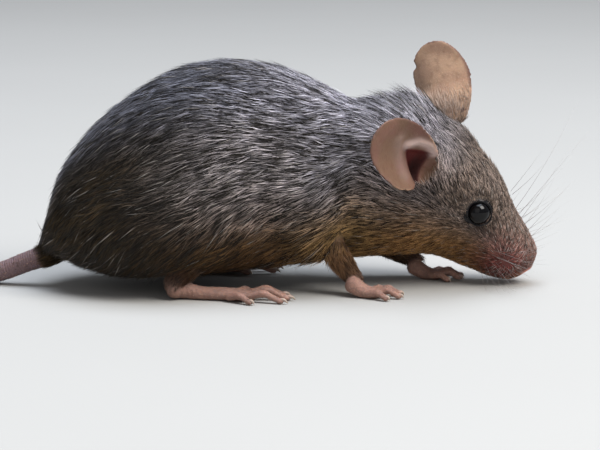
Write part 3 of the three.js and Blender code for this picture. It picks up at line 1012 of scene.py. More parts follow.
@dataclass(frozen=True)
class CoatFinish:
    """Banded hair: slate at its root, kept dark there as painted shade within the coat, its marking's colour
    above, and a darker point.
    """

    pale: Triple = (0.40, 0.36, 0.32)
    black: Triple = (0.016, 0.012, 0.008)
    bands: tuple[tuple[float, Triple], ...] = (
        # the dark lower stops: the slate base of each hair, darkened further as painted shade between the
        # tufts
        (0.0, (0.1, 0.1, 0.12)),
        (0.45, (0.34, 0.34, 0.37)),
        (0.72, (0.95, 0.94, 0.93)),
        (0.9, (1.2, 1.16, 1.12)),
        (1.0, (0.9, 0.86, 0.82)),
    )

    def material(self) -> bpy.types.Material:
        """The finish. `strand` is along the hair, its tone, and its kind: black, plain or pale."""
        g = Graph("coat_hair", Sheen_Weight=0.03, Sheen_Roughness=0.4, Specular_IOR_Level=0.18)
        strand = g.node("SeparateXYZ", {}, {0: g.attribute("strand", "Vector")})
        along, tone, kind = (Value(g, out) for out in strand.socket.node.outputs)
        band = g.node("ValToRGB", {"stops": self.bands}, {0: along})
        colour = g.mix(1.0, g.attribute("marking", "Vector"), band, "MULTIPLY")
        brightness = 0.1 + 1.9 * tone ** 1.6
        grey = g.node("CombineColor", {}, {0: brightness, 1: brightness, 2: brightness})
        colour = g.mix(1.0, colour, grey, "MULTIPLY")
        colour = g.mix(kind.spread(0.45, 0.1) * along.spread(0.05, 0.4), colour, self.black)
        colour = g.mix(kind.spread(0.6, 1.0) * along.spread(0.3, 0.7), colour, self.pale)
        g.set("Base Color", colour)
        g.set("Roughness", 0.5 + 0.12 * g.noise(900.0))
        return g.material


@dataclass(frozen=True)
class SkinFinish:
    """Near black under the coat, for grey underfur in painted shade; pink-brown where bare, tan on the ears
    and black at the lids.
    """

    pink: Triple = (0.34, 0.19, 0.145)
    dusky: Triple = (0.19, 0.115, 0.095)
    tail: Triple = (0.17, 0.108, 0.11)
    ear_back: Triple = (0.42, 0.27, 0.178)
    ear_tan: Triple = (0.165, 0.093, 0.06)
    ear_rose: Triple = (0.185, 0.083, 0.068)
    ear_brown: Triple = (0.11, 0.055, 0.032)
    rim: Triple = (0.13, 0.07, 0.055)
    # dark red: the canal's red skin with painted shade in its mouth; also put in the nostrils
    canal: Triple = (0.105, 0.017, 0.015)
    # near black: painted shade deep in the ear canal
    deep: Triple = (0.03, 0.006, 0.005)
    nose: Triple = (0.7, 0.26, 0.2)
    fold: Triple = (0.62, 0.47, 0.43)
    lid: Triple = (0.006, 0.005, 0.006)
    # near black: the grey underfur with painted shade between the tufts
    underfur_in_shade: Triple = (0.012, 0.010, 0.009)
    tail_rings: float = 900.0  # by the sine of this times the share of the tail's length

    def material(self) -> bpy.types.Material:
        """The finish, which reads what each place of the skin says of itself."""
        g = Graph("mouse_skin", Subsurface_Weight=0.18, Subsurface_Radius=(1.0, 0.35, 0.2),
                  Subsurface_Scale=0.0006, Specular_IOR_Level=0.25)
        bare, ear, dark, inner = (g.attribute(name) for name in ("bare", "ear", "dark", "inner"))
        streaks = g.noise(2600.0, 3.0)
        # under the coat the skin goes towards near black: painted shade of the underfur between the tufts
        furred = g.mix(0.16 + 0.4 * streaks, self.underfur_in_shade, g.attribute("marking", "Vector"))
        mottle = g.noise(420.0, 3.0).spread(0.32, 0.68)
        scales = g.node("TexVoronoi", {}, {"Vector": g.place(), "Scale": 2600.0})
        naked = g.mix(mottle * 0.75, self.pink, self.dusky)
        naked = g.mix(scales.spread(0.45, 0.8) * 0.5, naked, self.dusky)
        naked = g.mix(g.attribute("tail").spread(0.0, 0.04), naked, self.tail)
        veins = g.noise(240.0, 4.0).spread(0.42, 0.62)
        specks = g.noise(1100.0, 4.0).spread(0.5, 0.68)
        pinna = g.mix(inner, self.ear_back, self.ear_tan)
        pinna = g.mix(veins * (0.3 + 0.4 * inner), pinna, self.ear_rose)
        pinna = g.mix(specks * 0.3, pinna, self.ear_brown)
        pinna = g.mix(g.attribute("rim"), pinna, self.rim)
        colour = g.mix(bare, furred, naked)
        colour = g.mix(ear, colour, pinna)
        colour = g.mix(g.attribute("nose") * 0.85, colour, self.nose)
        # the ear canal's mouth and the nostrils: red skin with painted shade in the hollows
        colour = g.mix(g.attribute("red_and_shade"), colour, self.canal)
        # painted shade where the ear canal runs deepest
        colour = g.mix(g.attribute("deep"), colour, self.deep)
        colour = g.mix(g.attribute("pallor"), colour, self.fold)
        colour = g.mix(dark, colour, self.lid)
        g.set("Base Color", colour)
        g.set("Roughness", 0.62 - 0.3 * dark + 0.1 * g.noise(1500.0))
        rings = (g.attribute("tail") * self.tail_rings).sine().spread(-1, 1)
        height = bare * (0.45 * scales + 0.5 * rings) + 0.5 * g.noise(3200.0, 3.0)
        g.bump(height, 0.00012, 0.9)
        return g.material


@dataclass(frozen=True)
class EyeFinish:
    """Wet black with a trace of brown."""

    brown: Triple = (0.004, 0.003, 0.003)
    black: Triple = (0.001, 0.0014, 0.0022)

    def material(self) -> bpy.types.Material:
        """The finish."""
        g = Graph("wet_eye", IOR=1.38, Specular_IOR_Level=0.35)
        g.set("Base Color", g.mix(g.noise(700.0).spread(0.35, 0.65), self.black, self.brown))
        g.set("Roughness", 0.06 + 0.06 * g.noise(1800.0))
        return g.material


@dataclass(frozen=True)
class HornFinish:
    """Claws: pale horn, pinker at the root."""

    root: Triple = (0.36, 0.22, 0.18)
    tip: Triple = (0.36, 0.29, 0.23)
    streak: Triple = (0.3, 0.2, 0.16)

    def material(self) -> bpy.types.Material:
        """The finish, by the attribute `along`."""
        g = Graph("claw_horn", Specular_IOR_Level=0.5, Subsurface_Weight=0.1, Subsurface_Scale=0.0003)
        grain = g.noise(2500.0, 3.0)
        colour = g.mix(g.attribute("along").spread(0.1, 0.7), self.root, self.tip)
        g.set("Base Color", g.mix(grain * 0.25, colour, self.streak))
        g.set("Roughness", 0.32 + 0.15 * grain)
        g.bump(grain, 0.00003)
        return g.material


@dataclass(frozen=True)
class WhiskerFinish:
    """Whiskers: dark, and paler at their points."""

    root: Triple = (0.10, 0.08, 0.07)
    tip: Triple = (0.5, 0.47, 0.45)

    def material(self) -> bpy.types.Material:
        """The finish, by the attribute `along`."""
        g = Graph("whisker", Specular_IOR_Level=0.5)
        share = g.attribute("along").spread(0.25, 1.0)
        g.set("Base Color", g.mix(share + 0.15 * g.noise(1200.0), self.root, self.tip))
        g.set("Roughness", 0.35 + 0.1 * g.noise(900.0))
        return g.material


@dataclass(frozen=True)
class FloorFinish:
    """A plain pale floor."""

    pale: Triple = (0.41, 0.4, 0.38)
    shade: Triple = (0.385, 0.375, 0.355)

    def material(self) -> bpy.types.Material:
        """The finish."""
        g = Graph("pale_floor", Specular_IOR_Level=0.2)
        g.set("Base Color", g.mix(g.noise(9.0, 3.0), self.pale, self.shade))
        g.set("Roughness", 0.85 + 0.1 * g.noise(60.0))
        return g.material


# ---- skin ---------------------------------------------------------------------------------------


@dataclass
class Markings:
    """The colours of the coat by place, shared by the skin and the hair over it."""

    # grey-blue: the coat's own grey, with a blue tint of painted cool sheen
    back: Triple = (0.335, 0.345, 0.41)
    # pale lilac grey: partly the nape's own colour, partly painted cool sheen
    nape: Triple = (0.69, 0.66, 0.72)
    flank: Triple = (0.63, 0.565, 0.555)
    belly: Triple = (0.265, 0.145, 0.06)
    throat: Triple = (0.61, 0.37, 0.145)
    # dark brown-black: partly the rump's own dark coat, partly painted shade on the rump and haunch
    rump: Triple = (0.057, 0.032, 0.006)
    face: Triple = (0.29, 0.217, 0.173)
    cheek: Triple = (0.75, 0.40, 0.15)
    muzzle: Triple = (0.345, 0.098, 0.086)
    down: Triple = (0.38, 0.28, 0.215)
    russet: Triple = (0.15, 0.06, 0.035)
    limb: Triple = (0.12, 0.053, 0.03)
    ginger: Triple = (0.55, 0.32, 0.11)
    fuzz: Triple = (0.38, 0.25, 0.20)
    # painted shade: the dark gap of shade between the near ear's front edge and the forehead fur
    crease_shade: Triple = (0.05, 0.032, 0.028)
    shadow: Triple = (0.13, 0.12, 0.13)

    def at(self, points: np.ndarray, table: dict[str, np.ndarray], legness: np.ndarray,
           earness: np.ndarray) -> np.ndarray:
        """The coat's colour at points.

        Args:
            points: Places in the maker's frame.
            table: What the skin says there, by field.
            legness: How much each place belongs to a leg or foot.
            earness: How much it belongs to an ear.

        Returns:
            A linear colour for each point.
        """
        share, rise = table["share"], table["rise"]
        head = in_head(points)
        # the top of the body takes the back and nape colours, with their painted cool sheen
        top = blend(np.array(self.back), self.nape, smoothstep(0.32, 0.5, share))
        side = blend(np.array(self.flank), self.nape, 0.7 * smoothstep(0.44, 0.55, share))
        under = blend(np.array(self.belly), self.throat, smoothstep(0.42, 0.58, share))
        colour = blend(side, top, smoothstep(0.25, 0.85, rise))
        colour = blend(colour, under, smoothstep(0.25, -0.5, rise))
        # the rump and the haunch below its top go dark brown-black: partly dark fur, partly painted shade
        colour = blend(colour, self.rump, 0.95 * smoothstep(0.3, 0.1, share) * smoothstep(1.1, 0.5, rise))
        colour = blend(colour, self.rump, 0.95 * smoothstep(0.44, 0.24, share) * smoothstep(1.05, 0.4, rise))
        facial = smoothstep(0.585, 0.708, share)
        colour = blend(colour, self.face, facial * smoothstep(-0.3, 0.3, rise))
        colour = blend(colour, self.cheek, facial * smoothstep(0.25, -0.35, rise))
        colour = blend(colour, self.muzzle, 0.18 * smoothstep(24.0, 27.0, head[:, 0] - 0.35 * head[:, 2]))
        for side in SIDE_NAMES:
            pad = bump_at(head, on_side((24.8, 3.2, -2.2), side), (2.9, 2.2, 2.4))
            colour = blend(colour, self.muzzle, np.minimum(1, 1.15 * pad))
        colour = blend(colour, self.limb, 0.8 * legness)
        near = EARS[0]
        # the crease and shadow spots are painted shade by the near ear, the shadow partly over darker fur;
        # russet and ginger are the fur's own colour
        spots = (
            (self.crease_shade, 0.7, near.spot(0.14, 1.05) + (1.5, 0, 0), 1.1),
            (self.shadow, 0.6, near.spot(0.3, -1.4), 3.0),
            (self.russet, 0.6, near.spot(0.0, 0.5), 1.7),
            (self.ginger, 0.85, near.spot(0.03, 0.3), 1.2),
        )
        for mark, strength, at, reach in spots:
            colour = blend(colour, mark, strength * bump_at(points, at, reach))
        colour = blend(colour, self.down, earness * smoothstep(0.0, 0.35, table["along"]))
        colour = blend(colour, self.fuzz, 0.85 * table["bare"])
        uneven = (1 - earness) * (1 - 0.6 * facial)
        patches = 1 + (0.2 * waves(points, 11.0, 3) + 0.14 * waves(points, 4.0, 4)) * uneven
        return np.clip(colour * patches[:, None], 0.004, 1)


@dataclass
class Skin:
    """One closed skin over the whole mouse, with what each of its places says of itself.

    Attributes:
        shop: Makes it.
        voxel: The size of its cells, in mm.
        trunk_share: The share of its triangles that the trunk keeps, where the coat hides it.
        thin_above: The height over which the trunk is thinned.
        thin_from: The place along X from which it is thinned.
        thin_to: The place along the head up to which it is thinned.
        neighbours: How many places of the tubes tell a place of the skin what it is.
        softness: How evenly they tell it, in mm.
        combings: How often the lie of the hair is evened out.
        fringes: Where longer hair hangs over a limb, with Y away from the middle.
        nostril: The middle of a nostril in the head's frame, with Y away from the middle.
        wing: The middle of the raised rim over it.
        nose_pad: The middle of the moist skin beside it.
        lip: The corner of the mouth, from the nose backwards.
        cleft: The groove under the nose.
        chin: The bare skin between the lips.
        markings: The colours of its coat.
    """

    shop: Workshop
    voxel: float = 0.22
    trunk_share: float = 0.2
    thin_above: float = 4.2
    thin_from: float = -25.5
    thin_to: float = 6.5
    neighbours: int = 5
    softness: float = 0.15
    combings: int = 18
    fringes: Rows = ((12.5, 8.8, 7.5), (-5.0, 10.5, 6.0))
    nostril: Triple = (28.4, 0.75, -1.7)
    wing: Triple = (28.3, 0.88, -1.15)
    nose_pad: Triple = (28.2, 1.2, -1.5)
    lip: Rows = ((28.3, 0.0, -2.8), (27.2, 0.9, -3.7), (25.6, 1.7, -4.5), (23.6, 2.3, -5.1),
                 (21.6, 2.6, -5.6))
    cleft: Rows = ((28.9, 0, -1.8), (28.6, 0, -2.4), (28.1, 0, -3.1))
    chin: Rows = ((28.6, 0, -2.6), (27.6, 0, -3.4), (26.6, 0, -4.0))
    markings: Markings = field(default_factory=Markings)

    def tubes(self) -> list[Tube]:
        """Every tube that the skin is drawn over."""
        found = [Body().tube(), Tail().tube()]
        found += [ear.tube() for ear in EARS] + [eye.lids() for eye in EYES]
        for limb in LIMBS:
            found += [limb.leg(), *limb.foot()]
        return found

    def build(self) -> bpy.types.Object:
        """The skin's object, in the maker's frame, with its attributes."""
        tubes = self.tubes()
        obj = self.drawn_over(tubes)
        self.sculpt(obj)
        self.thin_trunk(obj)
        self.read_fields(obj, tubes)
        return obj

    def drawn_over(self, tubes: list[Tube]) -> bpy.types.Object:
        """One even mesh over the tubes, with smooth joins."""
        obj = self.shop.object_of("skin", *joined(tubes))
        self.shop.apply(obj, "REMESH", mode="VOXEL", voxel_size=self.voxel, adaptivity=0.0)
        self.shop.apply(obj, "SMOOTH", factor=0.5, iterations=5)
        return obj

    def sculpt(self, obj: bpy.types.Object) -> None:
        """Shapes the face and the ears, and makes a level under the feet."""
        points, normals = self.shop.points_of(obj), self.shop.normals_of(obj)
        points = points + normals * self.face_relief(in_head(points))[:, None]
        for ear in EARS:
            points = points + self.ear_relief(points, ear)[:, None] * ear.axes()[2]
        points[:, 2] = np.maximum(points[:, 2], 0.0)
        self.shop.move(obj, points)

    def face_relief(self, head: np.ndarray) -> np.ndarray:
        """How far nostrils, lips and whisker beds raise points of the head's frame."""
        rise = np.zeros(len(head))
        for side in SIDE_NAMES:
            rise -= 0.7 * bump_at(head, on_side(self.nostril, side), (0.42, 0.26, 0.3))
            rise += 0.16 * bump_at(head, on_side(self.wing, side), (0.5, 0.4, 0.3))
            rise -= 0.5 * self.groove(head, [on_side(place, side) for place in self.lip], 0.24)
            for row in range(PAD_ROWS):
                for column in range(PAD_COLUMNS):
                    bed = (25.6 - 0.75 * column, 2.6 + 0.22 * column, -0.9 - 0.72 * row - 0.1 * column)
                    rise += 0.05 * bump_at(head, on_side(bed, side), 0.2)
        return rise - 0.3 * self.groove(head, self.cleft, 0.16)

    def ear_relief(self, points: np.ndarray, ear: Ear) -> np.ndarray:
        """How far the scoop, canal, fold and ridge of an ear raise points out of its open side."""
        share, across, high = ear.flat(points)
        front = smoothstep(-0.05, 0.15, high)
        lowered = np.minimum(0.15 - high, 0) * ear.dish(points)
        deepest = np.minimum(1.5, 0.8 * ear.backing(share)) * smoothstep(0.98, 0.74, abs(across))
        pit = deepest * smoothstep(0.0, 0.8, ear.canal(points)) * front * (high < 3)
        fold = 0.5 * self.groove(points, ear.fold_path(), 0.38) * front
        fold += 0.22 * self.groove(points, ear.ridge_path(), 0.45) * front
        return lowered - pit + fold

    @staticmethod
    def groove(points: np.ndarray, path: Rows, reach: float) -> np.ndarray:
        """1 on a path and less away from it, by its distance over a reach."""
        path = np.asarray(path, float)
        near = np.full(len(points), np.inf)
        for start, end in zip(path[:-1], path[1:]):
            along = np.clip((points - start) @ (end - start) / ((end - start) @ (end - start)), 0, 1)
            near = np.minimum(near, np.linalg.norm(points - start - along[:, None] * (end - start), axis=1))
        return np.exp(-0.5 * (near / reach) ** 2)

    def thin_trunk(self, obj: bpy.types.Object) -> None:
        """Takes triangles from the trunk, where the coat hides the skin."""
        self.shop.apply(obj, "TRIANGULATE")
        corners = read(obj.data.polygons, "vertices", 3, np.int32)
        middle = self.shop.points_of(obj)[corners].mean(axis=1)
        picked = (middle[:, 2] > self.thin_above) & (middle[:, 0] > self.thin_from)
        picked &= in_head(middle)[:, 0] < self.thin_to
        self.shop.select(obj)
        bpy.ops.object.mode_set(mode="EDIT")
        bpy.ops.mesh.select_mode(type="FACE")
        bpy.ops.mesh.select_all(action="DESELECT")
        bpy.ops.object.mode_set(mode="OBJECT")
        obj.data.polygons.foreach_set("select", picked)
        bpy.ops.object.mode_set(mode="EDIT")
        bpy.ops.mesh.decimate(ratio=self.trunk_share)
        bpy.ops.object.mode_set(mode="OBJECT")

    def read_fields(self, obj: bpy.types.Object, tubes: list[Tube]) -> None:
        """Writes what the nearest places of the tubes say on the skin's points."""
        cloud = np.concatenate([tube.points.reshape(-1, 3) for tube in tubes])
        lies = np.concatenate([tube.lie.reshape(-1, 3) for tube in tubes])
        told = np.concatenate([tube.table() for tube in tubes])
        kinds = np.concatenate([np.full(tube.points[..., 0].size, tube.kind.value) for tube in tubes])
        tree = tree_of(cloud)
        points = self.shop.points_of(obj)
        near = np.array([[(i, d) for _, i, d in tree.find_n(point, self.neighbours)] for point in points])
        index, weight = near[..., 0].astype(int), 1 / (near[..., 1] + self.softness) ** 2
        weight /= weight.sum(axis=1, keepdims=True)
        fields = np.einsum("nk,nkf->nf", weight, told[index])
        lie = np.einsum("nk,nkf->nf", weight, lies[index])
        shares = {kind: ((kinds[index] == kind.value) * weight).sum(axis=1) for kind in Kind}
        self.colour(obj, points, dict(zip(FIELDS, fields.T)), shares)
        self.shop.note(obj, "lie", self.combed(obj, unit(lie)))

    def combed(self, obj: bpy.types.Object, lie: np.ndarray) -> np.ndarray:
        """Directions evened out from point to point, so that the hair parts nowhere."""
        first, second = read(obj.data.edges, "vertices", 2, np.int32).T
        for _ in range(self.combings):
            total = lie.copy()
            for k in range(3):
                total[:, k] += np.bincount(first, lie[second, k], len(lie))
                total[:, k] += np.bincount(second, lie[first, k], len(lie))
            lie = unit(total)
        return lie

    def colour(self, obj: bpy.types.Object, points: np.ndarray, table: dict[str, np.ndarray],
               shares: dict[Kind, np.ndarray]) -> None:
        """Writes the skin's markings and the length of its hair.

        Args:
            obj: The skin.
            points: Its points, in the maker's frame.
            table: What its places say, by field.
            shares: How much each place belongs to each kind.
        """
        head = in_head(points)
        limb = shares[Kind.LEG] + shares[Kind.FOOT]
        nose, lit, lips = self.nose(head)
        bare = np.maximum(table["bare"], np.maximum(nose, 0.9 * lips))
        length = table["length"] * (1 - nose) * (1 - 0.8 * lips)
        dark, length = self.lids(points, table["dark"], length)
        for fringe in self.fringes:
            for side in SIDE_NAMES:
                hung = bump_at(points, on_side(fringe, side), 3.6) * shares[Kind.BODY]
                length = length * (1 + 0.35 * hung)
        ears, length = self.ears(obj, points, shares[Kind.EAR], table["inner"], length)
        for side in SIDE_NAMES:
            # painted shade in each nostril, in the canal's dark red
            nostril = bump_at(head, on_side(self.nostril, side), 0.32)
            ears["red_and_shade"] = np.maximum(ears["red_and_shade"], 0.9 * nostril)
        base = smoothstep(0.0, 0.16, table["along"])
        eared = ears["ear"]
        said = {
            "length": length, "share": table["share"], "rise": table["rise"], "bare": bare, "dark": dark,
            "thin": np.clip(bare + shares[Kind.EAR] * smoothstep(0.05, 0.4, table["along"]), 0, 1),
            **ears, "ear": eared * np.maximum(ears["inner"], base), "nose": lit,
            "rim": shares[Kind.EAR] * smoothstep(0.88, 0.98, table["edge"]),
            "tail": np.where(shares[Kind.TAIL] > 0.5, table["along"], 0), "limb": limb,
            "body": shares[Kind.BODY], "marking": self.markings.at(points, table, limb, eared),
        }
        for name, values in said.items():
            self.shop.note(obj, name, values)

    def nose(self, head: np.ndarray) -> tuple[np.ndarray, np.ndarray, np.ndarray]:
        """How much points of the head's frame are nose, the moist part of the nose, and lips."""
        pads = sum(bump_at(head, on_side(self.nose_pad, side), (0.75, 0.8, 0.65)) for side in SIDE_NAMES)
        lit = smoothstep(0.15, 0.85, pads)
        tip = smoothstep(28.1, 28.6, head[:, 0] - 0.15 * head[:, 2] - 0.1)
        return np.maximum(tip, lit), lit, self.groove(head, self.chin, 0.4)

    @staticmethod
    def lids(points: np.ndarray, dark: np.ndarray, length: np.ndarray) -> tuple[np.ndarray, np.ndarray]:
        """How dark points are with the rims of the eyes, and the length of hair that those leave."""
        for eye in EYES:
            away = np.linalg.norm(points - eye.centre(), axis=1)
            length = length * smoothstep(eye.radius + 0.3, eye.radius + 1.0, away) ** 0.25
            dark = np.maximum(dark, smoothstep(eye.radius + 0.62, eye.radius + 0.36, away))
            dark = np.maximum(dark, 0.45 * smoothstep(eye.radius + 1.2, eye.radius + 0.6, away))
        return dark, length

    def ears(self, obj: bpy.types.Object, points: np.ndarray, eared: np.ndarray, inner: np.ndarray,
             length: np.ndarray) -> tuple[dict[str, np.ndarray], np.ndarray]:
        """What the skin says of itself at the ears.

        Args:
            obj: The skin.
            points: Its points, in the maker's frame.
            eared: How much each place belongs to an ear.
            inner: How much each place is on an ear's open side.
            length: The length of its hair.

        Returns:
            The attributes by name, and the length of hair that the ears leave.
        """
        red_and_shade, deep, pallor = np.zeros((3, len(points)))
        normals = self.shop.normals_of(obj)
        for ear in EARS:
            share, _, high = ear.flat(points)
            canal = ear.canal(points)
            front = (normals @ ear.axes()[2] > -0.1 - 0.5 * (canal > -0.4)) * (abs(high) < 2)
            dish = np.minimum(1, (canal > 0) + ear.dish(points)) * front
            # the canal's mouth: red skin with painted shade in the hollow
            mouth = smoothstep(-0.15, 0.3, canal) * dish
            red_and_shade = np.maximum(red_and_shade, mouth)
            # painted shade in the canal's mouth near the ear's root, where it runs deepest
            deep = np.maximum(deep, mouth * smoothstep(0.24, 0.12, share))
            pallor = np.maximum(pallor, 0.85 * self.groove(points, ear.fold_path(), 0.5) * dish)
            pallor = np.maximum(pallor, 0.16 * self.groove(points, ear.ridge_path(), 0.7) * dish)
            eared, inner = np.maximum(eared, dish), np.maximum(inner, dish)
            length = length * (1 - smoothstep(0.3, 0.6, dish))
            length = length * (1 - 0.75 * bump_at(points, ear.spot(0.04, -0.5), 1.2))
            length = length * (1 - 0.8 * ear.lobed * bump_at(points, ear.spot(0.14, 0.95), 0.8))
        return {"ear": eared, "inner": inner, "red_and_shade": red_and_shade, "deep": deep, "pallor": pallor}, length


# ---- coat ---------------------------------------------------------------------------------------


@dataclass
class Roots:
    """Where tufts grow, with one row a tuft in each array.

    Attributes:
        at: The places.
        normal: The skin's normals there.
        told: What the skin says there, by attribute.
        spot: The places on the baking map.
    """

    at: np.ndarray
    normal: np.ndarray
    told: dict[str, np.ndarray]
    spot: np.ndarray

    def only(self, picked: np.ndarray) -> Roots:
        """Some of the roots."""
        told = {name: values[picked] for name, values in self.told.items()}
        return Roots(self.at[picked], self.normal[picked], told, self.spot[picked])


@dataclass
class Coat:
    """The tufts over the skin, in pieces by region.

    Attributes:
        shop: Makes the pieces.
        skin: The skin that they grow from, in the maker's frame.
        cover: How many layers of hair lie over a place.
        most: The most tufts on a square millimetre.
        patch: The size of a tuft on the baking map.
        lock: How many tufts a lock has, about.
        stretch: How much longer than wide a lock's patch of skin is.
        stations: How many rings a tuft has, its tip included.
        sag: The squared length of a tuft over how far its tip sags, in mm.
        floor: How close to the floor a tuft may come.
        regions: Each pair of pieces as its name and its limits from rump to nose.
        rng: Where its random numbers come from.
    """

    shop: Workshop
    skin: bpy.types.Object
    cover: float = 5.7
    most: float = 44.0
    patch: float = 0.003
    lock: float = 5.0
    stretch: float = 2.6
    stations: int = 3
    sag: float = 44.0
    floor: float = 0.08
    regions: tuple[tuple[str, float, float], ...] = (
        ("rump", 0.0, 0.2),
        ("haunch", 0.2, 0.3),
        ("loin", 0.3, 0.41),
        ("chest", 0.41, 0.53),
        ("neck", 0.53, 0.67),
        ("face", 0.67, 1.01),
    )
    rng: np.random.Generator = field(default_factory=lambda: np.random.default_rng(SEED))

    def unwrap(self) -> None:
        """Lays the skin's own shape out flat, as the map that tufts are baked on."""
        self.shop.select(self.skin)
        self.skin.data.uv_layers.new(name="OFBake")
        bpy.ops.object.mode_set(mode="EDIT")
        bpy.ops.mesh.select_all(action="SELECT")
        bpy.ops.uv.smart_project(angle_limit=1.15, island_margin=0.001)
        bpy.ops.object.mode_set(mode="OBJECT")

    def attribute(self, name: str) -> np.ndarray:
        """An attribute of the skin's points."""
        attribute = self.skin.data.attributes[name]
        of = ("vector", 3) if attribute.data_type == "FLOAT_VECTOR" else ("value", 1)
        return read(attribute.data, *of).astype(float)

    def grow(self) -> Roots:
        """Spreads roots over the skin, closest where the hair is short."""
        mesh = self.skin.data
        corners = read(mesh.polygons, "vertices", 3, np.int32)
        points, normals = self.shop.points_of(self.skin), self.shop.normals_of(self.skin)
        spots = read(mesh.uv_layers["OFBake"].data, "uv", 2).reshape(-1, 3, 2)
        a, b, c = (points[corners[:, k]] for k in range(3))
        area = np.linalg.norm(np.cross(b - a, c - a), axis=1) / 2
        names = ("length", "share", "rise", "thin", "ear", "limb", "body", "marking", "lie")
        known = {name: self.attribute(name) for name in names}
        flat = {name: known[name][corners].mean(axis=1) for name in ("length", "thin", "rise")}
        dense = self.density(points[corners].mean(axis=1), flat)
        total = np.cumsum(area * dense)
        count = int(total[-1])
        picked = np.searchsorted(total, (np.arange(count) + self.rng.random(count)) * total[-1] / count)
        picked = np.minimum(picked, len(area) - 1)
        first, second = self.rng.random((2, count))
        over = first + second > 1
        first, second = np.where(over, 1 - first, first), np.where(over, 1 - second, second)
        weights = np.stack([1 - first - second, first, second], axis=1)

        def between(values: np.ndarray) -> np.ndarray:
            """Values at the roots, from those at their triangles' corners."""
            return np.einsum("nk,nk...->n...", weights, values[corners[picked]])

        spot = np.einsum("nk,nkj->nj", weights, spots[picked])
        told = {name: between(values) for name, values in known.items()}
        return Roots(between(points), unit(between(normals)), told, spot)

    def density(self, middle: np.ndarray, told: dict[str, np.ndarray]) -> np.ndarray:
        """How many tufts grow on a square millimetre at each place, by what the skin says there."""
        length = told["length"]
        dense = np.minimum(self.cover / (0.5 * self.width(length) * np.maximum(length, 0.2)), self.most)
        dense = np.where(length < 0.12, 0, dense) * (1 - 0.86 * told["thin"])
        dense = dense * (middle[:, 2] > 0.35)
        dense = dense * (1 - 0.4 * smoothstep(-0.7, -0.95, told["rise"]))
        return dense * (1 + 1.2 * round_eyes(middle))

    @staticmethod
    def width(length: np.ndarray) -> np.ndarray:
        """The width of tufts of a length."""
        return 0.06 + 0.014 * length

    def lie(self, roots: Roots) -> np.ndarray:
        """The way each tuft points, in the plane of the skin."""
        way, at = roots.told["lie"].copy(), roots.at
        for eye in EYES:
            near, away = parted(at, eye.centre(), 2.3, 4)
            way += 0.7 * near[:, None] * away
        for ear in EARS:
            near, away = parted(at, ear.spot(0.12, 0.0, 0.4), 3.4, 2)
            near = near * (roots.told["ear"] < 0.5)
            behind = smoothstep(0.4, -0.8, ear.flat(at)[2])
            way += 1.3 * near[:, None] * blend(away, ear.axes()[0], behind)
        way[:, 2] -= 0.7 * smoothstep(0.1, 0.03, roots.told["share"]) * (roots.told["body"] > 0.5)
        for side in SIDE_NAMES:
            near, away = parted(at, on_head(on_side((24.0, 3.2, -1.2), side)), 3.2, 4)
            way += 1.5 * near[:, None] * away
        way = unit(way - roots.normal * np.sum(way * roots.normal, axis=1, keepdims=True))
        across = np.cross(roots.normal, way)
        swirl = 0.15 * waves(at, 9.0, 21) + 0.13 * waves(at, 3.2, 22)
        swirl = swirl * (1 - 0.6 * smoothstep(0.6, 0.7, roots.told["share"]))
        swirl = swirl + self.rng.normal(0, 0.1, len(at))
        return way * np.cos(swirl)[:, None] + across * np.sin(swirl)[:, None]

    def locks(self, roots: Roots, way: np.ndarray) -> tuple[np.ndarray, np.ndarray]:
        """Gathers tufts into locks that are longer than wide.

        Args:
            roots: The tufts.
            way: The way each points.

        Returns:
            The root of each tuft's lock, and a random number that the lock shares.
        """
        heads = np.flatnonzero(self.rng.random(len(roots.at)) < 1 / self.lock)
        tree = tree_of(roots.at[heads])
        near = np.array([[i for _, i, _ in tree.find_n(point, 5)] for point in roots.at])
        away = roots.at[heads[near]] - roots.at[:, None]
        along = np.einsum("nkj,nj->nk", away, way)
        apart = np.sum(away**2, axis=2) - (1 - 1 / self.stretch**2) * along**2
        mine = near[np.arange(len(near)), apart.argmin(axis=1)]
        return roots.at[heads[mine]], self.rng.random(len(heads))[mine]

    def tufts(self, roots: Roots, way: np.ndarray, middle: np.ndarray,
              shared: np.ndarray) -> tuple[np.ndarray, np.ndarray, np.ndarray]:
        """The points of tufts.

        Args:
            roots: Where they grow.
            way: The way each points.
            middle: The root of each tuft's lock.
            shared: A random number that each lock shares.

        Returns:
            The points as tufts by points by three, the share of its length at each, and its strand.
        """
        count = len(roots.at)
        own = self.rng.random(count)
        kind = self.kinds(roots, own)
        striking = (roots.told["body"] > 0.4) & (kind != 0.5)
        ruffled = self.ruffled(roots.at)
        length = roots.told["length"] * self.rng.uniform(0.72, 1.22, count)
        length = length * np.where(striking, 1.18, 1.0) * (1 + 0.6 * ruffled)
        lift = np.radians(9 + 13 * self.rng.random(count) + 6 * (shared - 0.5))
        lift = lift + np.radians(38) * ruffled + np.radians(18) * round_eyes(roots.at)
        eared = roots.told["ear"] > 0.5
        lift = np.where(eared, np.radians(9), lift)
        width = self.width(length) * self.rng.uniform(0.75, 1.25, count) * np.where(eared, 0.6, 1.0)
        spine = self.spine(roots, way, middle, length, lift)
        share = np.linspace(0, 1, self.stations)
        shape = np.interp(share, [0, 0.35, 0.75, 1], [0.75, 1.0, 0.62, 0.0])
        corners = np.array([[-0.5, 0.0], [0.5, 0.0], [0.0, 0.42]])
        side = np.cross(way, roots.normal)
        section = corners[:, :1] * side[:, None] + corners[:, 1:] * roots.normal[:, None]
        rings = [
            line[:, None] + (width * wide)[:, None, None] * section
            for line, wide in zip(spine[:-1], shape)
        ]
        points = np.concatenate([*rings, spine[-1][:, None]], axis=1)
        along = np.array([*np.repeat(share[:-1], len(corners)), 1.0])
        strand = np.stack([self.tones(roots, own, shared), kind], axis=1)
